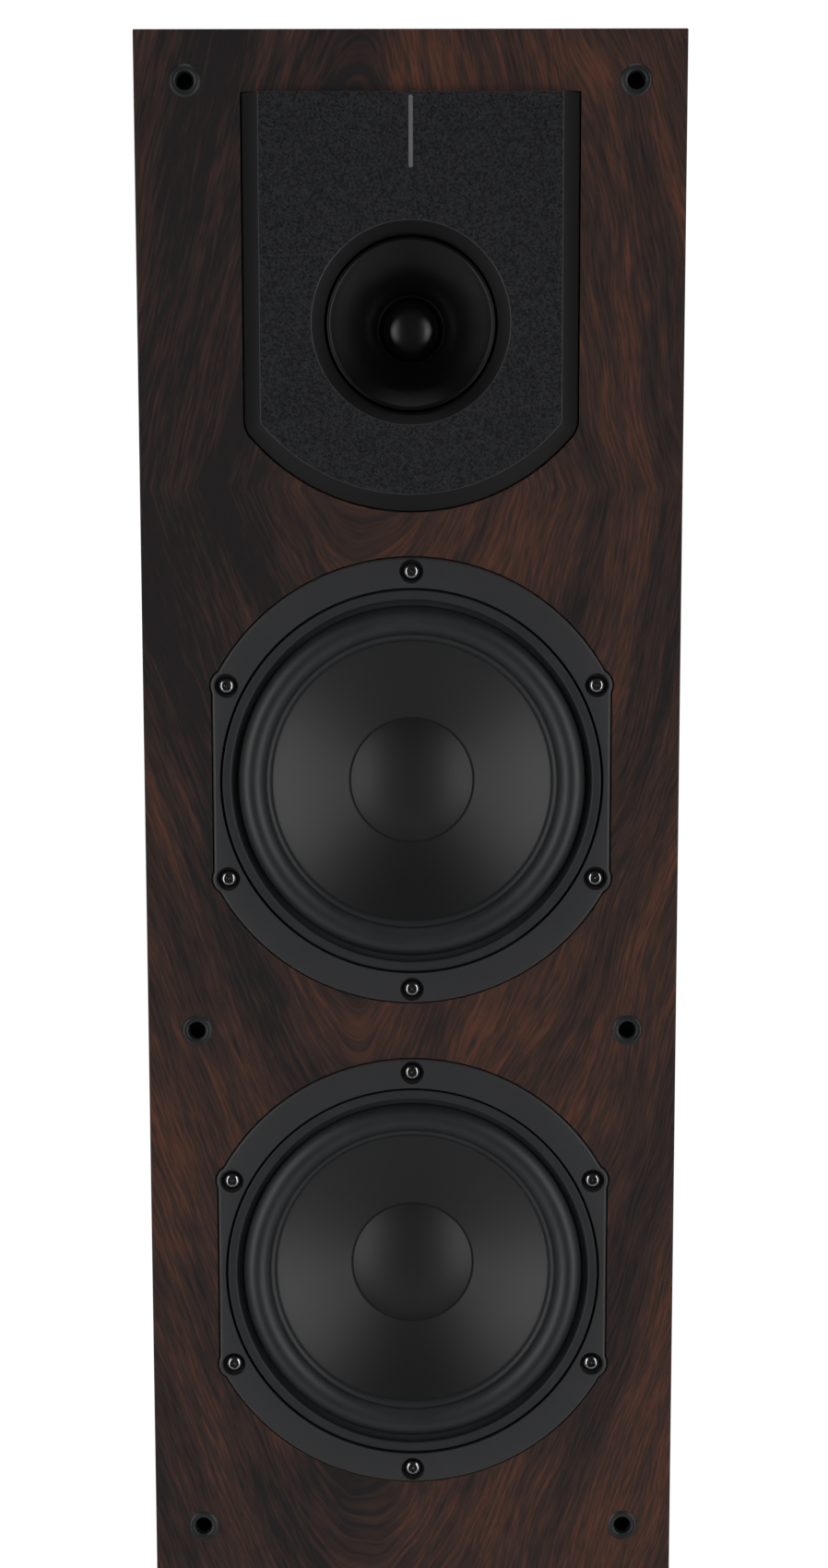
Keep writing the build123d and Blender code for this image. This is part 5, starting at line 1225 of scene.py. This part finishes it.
BOLT_ANGLES = (27.5, 152.5, 207.5, 332.5, 90.0, 270.0)


def bolt_places(sizes):
    """Local places of a flange's six screws."""
    bolts = sizes.bolt_radius / MM
    return [(bolts * math.cos(math.radians(a)), bolts * math.sin(math.radians(a))) for a in BOLT_ANGLES]


def basket_mesh(sizes, matrix, name):
    """Flange, bowl, spokes and motor plate of one basket."""
    edge = sizes.flange_edge / MM
    segments = 1080
    rings = [
        flange_ring(sizes, inset, height, segments)
        for inset, height in (
            (0.0, -5.7),
            (0.0, 0.8 - edge),
            (edge * 0.08, 0.8 - edge * 0.62),
            (edge * 0.29, 0.8 - edge * 0.29),
            (edge * 0.62, 0.8 - edge * 0.08),
            (edge, 0.8),
        )
    ]
    section = rounded(
        [
            (75.3, 0.8, 0.5),
            (75.3, -4.2),
            (69.0, -4.2),
            (69.0, -8.7),
            (52.0, -32.4),
            (52.0, -34.4),
            (48.0, -34.4),
            (48.0, -37.6),
            (51.8, -49.8),
            (27.0, -49.8),
            (27.0, -53.0),
            (55.0, -53.0),
            (55.0, -34.4),
            (74.8, -8.7),
            (74.8, -5.7),
        ],
        closed=False,
    )
    for radius, height in [(75.9, 0.8)] + [tuple(p) for p in section]:
        rings.append(
            [
                (radius * math.cos(2 * math.pi * i / segments), radius * math.sin(2 * math.pi * i / segments), height)
                for i in range(segments)
            ]
        )
    basket = place_mesh(name, skin(rings, closed=True), matrix, 25)
    windows = []
    for i in range(6):
        window = box_mesh((48.0, -21.3, -38.4), (100.0, 21.3, -11.7))
        window.transform(Matrix.Rotation(math.radians(60 * i), 4, "Z"))
        windows.append(window)
    cutters = [
        pins(bolt_places(sizes), 2.2, -7.0, 2.0, matrix),
        pins(bolt_places(sizes), 4.65, -2.0, 2.0, matrix, 48),
        place_mesh("windows", merged(windows), matrix),
    ]
    return cut(basket, cutters)


def cross_screw(name, head_radius, head_height, shank_radius, shank, recess):
    """A pan-head screw in millimetres with its seat on Z = 0 and a cross recess."""
    body = rounded(
        [
            (0, head_height),
            (head_radius * 0.55, head_height, 0.5),
            (head_radius * 0.93, head_height * 0.62, 0.8),
            (head_radius, 0.25, 0.4),
            (head_radius, 0.0),
            (shank_radius, 0.0),
            (shank_radius, -shank * 0.80),
            (0, -shank),
        ],
        closed=False,
    )
    screw = place_mesh(name, turned(body, 40, closed=False))
    slots = []
    for turn in (0, 90):
        slot = box_mesh((-recess, -0.42, head_height - 1.3), (recess, 0.42, head_height + 1.0))
        slot.transform(Matrix.Rotation(math.radians(turn), 4, "Z"))
        slots.append(place_mesh("slot", slot))
    well = [(0, head_height - 1.6), (0.9, head_height - 0.8), (1.25, head_height + 1), (0, head_height + 1)]
    slots.append(place_mesh("well", turned(well, 16, closed=False)))
    return cut(screw, slots)


class SPEAKER_OT_woofers(bpy.types.Operator):
    """Two woofers: flange and basket, rubber roll, trim ring, cone, dust cap, coil and spider"""

    bl_idname = "speaker.woofers"
    bl_label = "Woofers"

    def execute(self, context):
        sizes = context.scene.speaker_woofer
        trims = []
        for side, centre in WOOFERS.items():
            matrix = axes(centre, "front")
            body = f"{side}_diaphragm"
            basket = basket_mesh(sizes, matrix, f"{side}_basket_painted")
            settle(basket, "cabinet", "basket_metal", "basket_metal", f"{side}_basket")

            self.sheet(
                context, f"{side}_roll", centre, body, "roll_rubber", "roll_rubber", f"{side}_surround",
                inner_edge=54.9 * MM, roll_inner=sizes.roll_inner, roll_outer=sizes.roll_outer, outer_edge=75.0 * MM,
                depth=4.15 * MM, height=sizes.roll_height, waves=1.0, fullness=0.62, drop=1.85 * MM,
                thickness=sizes.roll_thickness, segments=257, steps=97,
            )
            self.sheet(
                context, f"{side}_spider_cloth", centre, body, "spider_cloth", "spider_cloth", f"{side}_spider",
                inner_edge=19.6 * MM, roll_inner=21.1 * MM, roll_outer=46.0 * MM, outer_edge=51.7 * MM,
                depth=34.4 * MM, height=1.1 * MM, waves=float(sizes.spider_waves), fullness=0.9, drop=0.0,
                thickness=0.8 * MM, segments=129, steps=121,
            )

            cone = rounded(
                [
                    (57.0, -6.3), (57.0, -7.2), (55.1, -7.29), (20.4, -23.2), (20.4, -26.4), (19.5, -26.4),
                    (19.5, -22.45), (28.0, -18.95), (36.0, -15.35), (44.0, -11.55), (54.9, -6.40, 1.0), (55.6, -6.3),
                ]
            )
            piece = place_mesh(f"{side}_cone_paper", turned(cone, 224), matrix, 30)
            settle(piece, body, f"{side}_cone", "cone_paper", f"{side}_cone")

            rim, rise, thick = 24.25, 6.2, 0.8
            edge_height = -20.29
            ball = (rim**2 + rise**2) / (2 * rise)
            low = edge_height + rise - ball
            angle = math.degrees(math.asin(rim / ball))
            cap = arc((0, low), ball, 90, 90 - angle, 28) + [(rim, edge_height - 0.25)]
            cap += arc((0, low), ball - thick, 90 - angle, 90, 28)
            cap = [(0.0 if r < 1e-4 else r, h) for r, h in cap]
            piece = place_mesh(f"{side}_dust_cap_coated", turned(cap, 160, closed=False), matrix)
            settle(piece, body, f"{side}_cap", "cap_coating", f"{side}_dust_cap")

            ring = rounded(
                [(70.6, -3.3), (74.5, -3.3), (74.5, -0.2, 0.45)]
                + [(73.9, 0.05, 0.3), (71.1, -0.1, 0.45), (70.6, -0.8, 0.3)]
            )
            trim = turned(ring, 256)
            trim.transform(matrix)
            trims.append(trim)
            dress(f"{side}_voice_coil", "coil_copper")
        piece = place_mesh("woofer_trims", merged(trims), None)
        settle(piece, "cabinet", "trim_rubber", "trim_rubber", "woofer_trim_rings")
        dress("woofer_gaskets", "gasket_foam")
        dress("woofer_top_plates", "motor_steel")
        dress("woofer_yokes", "motor_steel")
        dress("woofer_magnets", "magnet_ferrite")
        dress("woofer_terminals", "terminal_plastic")

        model = cross_screw("woofer_screw_model", 3.45, 2.5, 1.9, 18.0, 1.75)
        seat = Vector((0, 2.0 * MM, 0))
        places = [
            (centre + seat + Vector((x * MM, 0, y * MM)), Vector((0, -1, 0)))
            for centre in WOOFERS.values()
            for x, y in bolt_places(sizes)
        ]
        screws = place_fittings("woofer_screw_set", model, places, "screw_black", 11)
        settle(screws, "cabinet", None, "screw_black", "woofer_screws")
        return {"FINISHED"}

    def sheet(self, context, name, centre, body, finish, slot, node, **values):
        """One rolled or waved ring between the basket and the diaphragm."""
        piece = bpy.data.objects.new(name, bpy.data.meshes.new(name))
        context.scene.collection.objects.link(piece)
        tree_of("rolled").run(piece, place=centre, material=finish_of(finish), **values)
        bend_piece(piece, centre, values["roll_inner"], values["roll_outer"])
        settle(piece, None, None, slot, node)


class SPEAKER_OT_rear(bpy.types.Operator):
    """Rear port, connection cup with its posts, washers and knobs, and the small screws"""

    bl_idname = "speaker.rear"
    bl_label = "Rear fittings"

    def execute(self, context):
        sizes = context.scene.speaker_rear
        radius = sizes.port_radius / MM
        port = (
            [(49.0, 0.0)]
            + [tuple(p) for p in rounded([(49.0, 0), (49.0, 3.0, 1.2), (radius + 11.0, 3.0)], False)][1:]
            + arc((radius + 9.0, -6.0), 9.0, 90, 180, 18)
            + [(radius, -110.0), (radius + 1.2, -115.0), (radius + 5.4, -119.0)]
            + [(radius + 7.9, -119.0), (radius + 2.5, -110.0)]
            + [(radius + 2.5, -18.0), (radius + 11.5, -9.0), (radius + 11.5, 0.0)]
        )
        piece = place_mesh("reflex_port_flared", turned(port, 192), axes(PORT, "rear"), 25)
        reach = 44.75 / math.sqrt(2)
        corners = [(x * reach, y * reach) for x in (-1, 1) for y in (-1, 1)]
        cut(piece, [pins(corners, 2.2, -2.0, 5.0, axes(PORT, "rear"))])
        settle(piece, "cabinet", "port_plastic", "port_plastic", "reflex_port")

        self.cup(context)
        self.posts(context, sizes)
        screws = cross_screw("panel_screw_model", 3.45, 2.5, 1.9, 16.0, 1.75)
        board_y, tweeter_y = BOARD[0].y, FRONT_Y + 16.0 * MM
        board_z = middle("crossover_board").z
        places = [(PORT + Vector((x * MM, 3.0 * MM, y * MM)), Vector((0, 1, 0))) for x, y in corners]
        places += [(CUP + Vector((x * MM, 3.0 * MM, y * MM)), Vector((0, 1, 0))) for x, y in CUP_CORNERS]
        for x in (-48, 48):
            places += [(Vector((x * MM, board_y, board_z + y * MM)), Vector((0, -1, 0))) for y in (-68, 68)]
        for x in (-49.15, 49.15):
            places += [(Vector((x * MM, tweeter_y, TWEETER.z + y * MM)), Vector((0, 1, 0))) for y in (-49.15, 49.15)]
        piece = place_fittings("panel_screw_set", screws, places, "screw_black", 23)
        settle(piece, "cabinet", None, "screw_black", "panel_screws")
        return {"FINISHED"}

    def cup(self, context):
        """Moulded dish with a rounded rim."""
        levels = (
            (124.0, 96.0, 8.0, 0.0), (124.0, 96.0, 8.0, 1.8), (123.6, 95.6, 7.8, 2.5), (122.6, 94.6, 7.3, 3.0),
            (98.4, 70.4, 6.2, 3.0), (97.0, 69.0, 5.5, 2.7), (96.2, 68.2, 5.1, 1.9), (96.0, 68.0, 5.0, 1.0),
            (94.6, 66.6, 5.0, -15.6), (93.8, 65.8, 5.0, -16.6), (92.2, 64.2, 4.6, -17.0),
        )
        outer = ((102.0, 74.0, 8.0, 0.0), (102.0, 74.0, 8.0, -20.0))
        rings = [pillow_ring(*level) for level in (outer[1], outer[0]) + levels]
        mesh = skin(rings, closed=False)
        close_ends(mesh)
        matrix = axes(CUP, "rear")
        cup = place_mesh("connection_cup", mesh, matrix, 25)
        posts = [(-POST_X / MM, 0), (POST_X / MM, 0)]
        ribs = []
        for y in (-26.0, 26.0):
            ribs.append(box_mesh((-34.0, y - 0.6, -17.5), (34.0, y + 0.6, -16.2)))
        cut(cup, [place_mesh("ribs", merged(ribs), matrix)], "UNION")
        cut(cup, [pins(posts, 4.1, -22.0, -10.0, matrix), pins(CUP_CORNERS, 2.2, -1.0, 5.0, matrix)])
        settle(cup, "cabinet", "cup_plastic", "cup_plastic", "terminal_cup")

    def posts(self, context, sizes):
        """Gold posts, clamping washers and fluted knobs."""
        bodies = []
        thread = []
        height = -10.2
        while height < 7.2:
            thread += [(4.0, height), (3.72, height + 0.35)]
            height += 0.7
        for x in (-POST_X, POST_X):
            section = (
                [(0, -34.0), (3.5, -34.0), (4.0, -33.4), (4.0, -24.0), (6.5, -24.0), (6.5, -20.0)]
                + [(4.0, -20.0), (4.0, -17.0), (6.5, -17.0)]
                + [tuple(p) for p in rounded([(6.5, -17), (6.5, -14.0, 0.5), (4.0, -14.0)], False)][1:]
                + thread
                + [(4.0, 7.4), (3.6, 8.0), (2.5, 8.0), (2.05, 7.5), (2.05, -9.0), (0, -9.6)]
            )
            post = turned(section, 48, closed=False)
            post.transform(axes(Vector((x, REAR_Y, CUP.z)), "rear"))
            bodies.append(post)
        pair = place_mesh("binding_post_pair", merged(bodies), None)
        settle(pair, "cabinet", "post_gold", "post_gold", "binding_posts")
        for colour, x in (("red", POST_X), ("black", -POST_X)):
            place = Vector((x, REAR_Y, CUP.z))
            section = rounded([(4.06, -13.7), (7.6, -13.7, 0.4), (7.6, -11.7, 0.4), (4.06, -11.7, 0.3)])
            washer = place_mesh(f"{colour}_washer_moulded", turned(section, 64), axes(place, "rear"))
            settle(washer, f"{colour}_washer", f"washer_{colour}", f"knob_{colour}", f"{colour}_clamp_washer")
            radius = sizes.knob_radius / MM
            section = rounded(
                [(4.06, -11.4), (radius, -11.4, 0.6), (radius, 0.9, 0.9), (radius - 1.1, 1.6, 0.4)]
                + [(5.2, 1.6, 0.3), (4.9, 1.2), (4.06, 1.2)]
            )
            knob = place_mesh(f"{colour}_knob_fluted", turned(section, 96))
            tree_of("notched").run(
                knob, notches=sizes.knob_flutes, circle_radius=radius + 0.33, notch_radius=1.1, notch_length=11.0,
                notch_middle=-3.6, place=place, turn=(-math.pi / 2, 0.0, 0.0), size=MM,
                material=finish_of(f"knob_{colour}"),
            )
            settle(knob, f"{colour}_post_knob", None, f"knob_{colour}", f"{colour}_knob")


CUP_CORNERS = [(x, y) for x in (-55.0, 55.0) for y in (-41.0, 41.0)]


def pillow_ring(wide, high, corner, height, steps=8):
    """A rectangle with round corners."""
    points = []
    for side_x, side_y, start in ((1, 1, 0), (-1, 1, 90), (-1, -1, 180), (1, -1, 270)):
        centre = (side_x * (wide / 2 - corner), side_y * (high / 2 - corner))
        points += arc(centre, corner, start, start + 90, steps)
    return [(x, y, height) for x, y in points]


class SPEAKER_OT_inside(bpy.types.Operator):
    """Crossover board with its chokes, capacitors and resistors, and the internal leads"""

    bl_idname = "speaker.inside"
    bl_label = "Inside"

    def execute(self, context):
        dress("crossover_board", "board_green")
        dress("crossover_inductors", "choke_copper")
        dress("crossover_capacitors", "capacitor_film")
        dress("crossover_resistors", "resistor_ceramic")
        dress("internal_wires", "wire_jacket")
        return {"FINISHED"}


class SPEAKER_OT_plinth(bpy.types.Operator):
    """Painted plinth, its screws, and the four levelling feet"""

    bl_idname = "speaker.plinth"
    bl_label = "Plinth and feet"

    def execute(self, context):
        edge = context.scene.speaker_cabinet.plinth_edge / MM
        low, high = (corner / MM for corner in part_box("plinth"))
        wide, deep = high.x - low.x, high.y - low.y
        corner = 3.0 + edge
        levels = []
        for step in range(5):
            angle = math.pi / 2 * step / 4
            levels.append((edge * (1 - math.sin(angle)), edge * (1 - math.cos(angle))))
        heights = [(inset, low.z + rise) for inset, rise in levels]
        heights += [(inset, high.z - rise) for inset, rise in reversed(levels)]
        rings = [
            pillow_ring(wide - 2 * inset, deep - 2 * inset, corner - inset, height) for inset, height in heights
        ]
        mesh = skin(rings, closed=False)
        close_ends(mesh)
        scale = Matrix.Scale(MM, 4)
        plinth = place_mesh("plinth_painted", mesh, scale, 30)
        studs = [(place.x / MM, place.y / MM) for place in FEET.values()]
        screws = [(x, y) for x in (-65.0, 65.0) for y in (-110.0, 110.0)]
        cut(
            plinth,
            [
                pins(studs, 4.05, low.z - 1, high.z + 1, scale),
                pins(screws, 2.65, low.z - 1, high.z + 1, scale),
                pins(screws, 5.3, low.z - 1, low.z + 4.5, scale),
            ],
        )
        settle(plinth, "cabinet", "plinth_paint", "plinth_paint", "plinth")
        dress("plinth_screws", "screw_black")
        notches = context.scene.speaker_rear.wheel_notches
        for name, place in FEET.items():
            ground = Vector((place.x, place.y, 0))
            section = rounded(
                [
                    (0, 0), (17.6, 0), (18.0, 0.6), (19.0, 0.6), (19.0, 0, 0.2), (20.0, 0.5, 0.5), (20.0, 5.4, 0.9),
                    (16.0, 10.0, 0.8), (4.05, 10.0, 0.3), (4.05, 4.0), (0, 4.0),
                ],
                closed=False,
            )
            pad = place_mesh(f"{name}_pad_rubber", turned(section, 96, closed=False), axes(ground, "up"))
            settle(pad, f"{name}_pad", "foot_rubber", "foot_rubber", f"{name}_foot_pad")
            thread = [point for i in range(16) for point in ((4.0, 27.0 + i * 1.2), (3.65, 27.6 + i * 1.2))]
            section = [(0, 4.3), (3.6, 4.3), (4.0, 4.8), (4.0, 10.3), (6.5, 10.3), (6.5, 18.7)] + [
                tuple(p) for p in rounded([(6.5, 18.7), (15.0, 18.7, 0.8), (15.0, 25.7, 0.8), (4.0, 25.7)], False)
            ][1:] + thread + [(4.0, 45.9), (3.4, 46.5), (0, 46.5)]
            stud = place_mesh(f"{name}_stud_turned", turned(section, 72, closed=False))
            tree_of("notched").run(
                stud, notches=notches, circle_radius=15.4, notch_radius=1.0, notch_length=9.0, notch_middle=22.2,
                place=ground, turn=(0.0, 0.0, 0.0), size=MM, material=finish_of("foot_steel"),
            )
            settle(stud, f"{name}_stud", None, "foot_steel", f"{name}_foot_stud")
        return {"FINISHED"}


class SPEAKER_OT_stage(bpy.types.Operator):
    """Pale floor, soft side lights, white surroundings and the camera"""

    bl_idname = "speaker.stage"
    bl_label = "Floor, lights and camera"

    def execute(self, context):
        sizes = context.scene.speaker_stage
        scene = context.scene
        half = sizes.floor_half / MM
        floor = box_mesh((-half, -half, -20.0), (half, half, 0.0))
        floor = place_mesh("studio_floor", floor, Matrix.Scale(MM, 4))
        floor.data.materials.append(moulded("Studio Floor", (0.80, 0.80, 0.80), 0.6, 60.0, 0.02, 0.02))

        for side in (-1, 1):
            place = (side * 1.50, -1.38, 0.80)
            self.light(f"side_strip_{side}", place, (0, -0.15, 0.72), 0.50, 2.2, sizes.strip_power)
        self.light("rear_soft", (0.0, 2.4, 1.6), (0, 0.15, 0.5), 1.6, 1.6, 45.0)
        self.light("top_soft", (0.0, 0.2, 2.6), (0, 0.2, 0.0), 1.2, 1.2, 14.0)

        world = bpy.data.worlds.new("Studio")
        scene.world = world
        world.use_nodes = True
        room = Graph(world.node_tree)
        world.node_tree.nodes.clear()
        seen = room.add("ShaderNodeLightPath")
        fill, backdrop = 0.035, 1.05
        dim = room.add("ShaderNodeBackground", None, {"Color": (1, 1, 1, 1), "Strength": fill})
        white = room.add("ShaderNodeBackground", None, {"Color": (1, 1, 1, 1), "Strength": backdrop})
        both = room.add("ShaderNodeMixShader", None, {0: seen, 1: dim, 2: white})
        room.add("ShaderNodeOutputWorld", None, {"Surface": both})
        scene.view_settings.view_transform = "Standard"

        camera = bpy.data.objects.new("camera", bpy.data.cameras.new("camera"))
        scene.collection.objects.link(camera)
        camera.data.lens = sizes.lens
        camera.data.sensor_width = 36.0
        camera.data.shift_y = 0.2059
        camera.data.clip_start = 0.05
        camera.data.clip_end = 20.0
        aside, distance, drop = 0.985 * MM, 1.1585, 0.2254
        tilt_down, roll = 9.160, 0.088
        camera.location = (aside, FRONT_Y - distance, TOP_Z - drop)
        camera.rotation_euler = (math.radians(90 - tilt_down), math.radians(roll), 0.0)
        scene.camera = camera
        return {"FINISHED"}

    def light(self, name, place, target, wide, high, power):
        """A soft rectangular light aimed at a point."""
        data = bpy.data.lights.new(name, "AREA")
        data.shape = "RECTANGLE"
        data.size, data.size_y = wide, high
        data.energy = power
        lamp = bpy.data.objects.new(name, data)
        bpy.context.scene.collection.objects.link(lamp)
        lamp.location = place
        aim = Vector(target) - Vector(place)
        lamp.rotation_euler = aim.to_track_quat("-Z", "Y").to_euler()
        lamp.visible_camera = False


class SPEAKER_PT_pieces(bpy.types.Panel):
    """Lists the pieces of the loudspeaker with their sizes"""

    bl_label = "Loudspeaker"
    bl_space_type = "VIEW_3D"
    bl_region_type = "UI"
    bl_category = "Loudspeaker"

    def draw(self, context):
        for name, group in GROUPS.items():
            box = self.layout.box()
            box.label(text=name.replace("_", " ").title())
            for key in group.__annotations__:
                box.prop(getattr(context.scene, name), key)
        for operator in OPERATORS:
            self.layout.operator(operator.bl_idname)


OPERATORS = (
    SPEAKER_OT_stage,
    SPEAKER_OT_cabinet,
    SPEAKER_OT_sockets,
    SPEAKER_OT_waveguide,
    SPEAKER_OT_tweeter,
    SPEAKER_OT_woofers,
    SPEAKER_OT_rear,
    SPEAKER_OT_inside,
    SPEAKER_OT_plinth,
)
CLASSES = (*GROUPS.values(), *OPERATORS, SPEAKER_PT_pieces)


def register():
    for item in CLASSES:
        bpy.utils.register_class(item)
    for name, group in GROUPS.items():
        setattr(bpy.types.Scene, name, bpy.props.PointerProperty(type=group))


def unregister():
    for name in GROUPS:
        delattr(bpy.types.Scene, name)
    for item in reversed(CLASSES):
        bpy.utils.unregister_class(item)


def main():
    """Make every piece in order."""
    register()
    for operator in OPERATORS:
        family, name = operator.bl_idname.split(".")
        getattr(getattr(bpy.ops, family), name)()


if __name__ == "__main__":
    main()
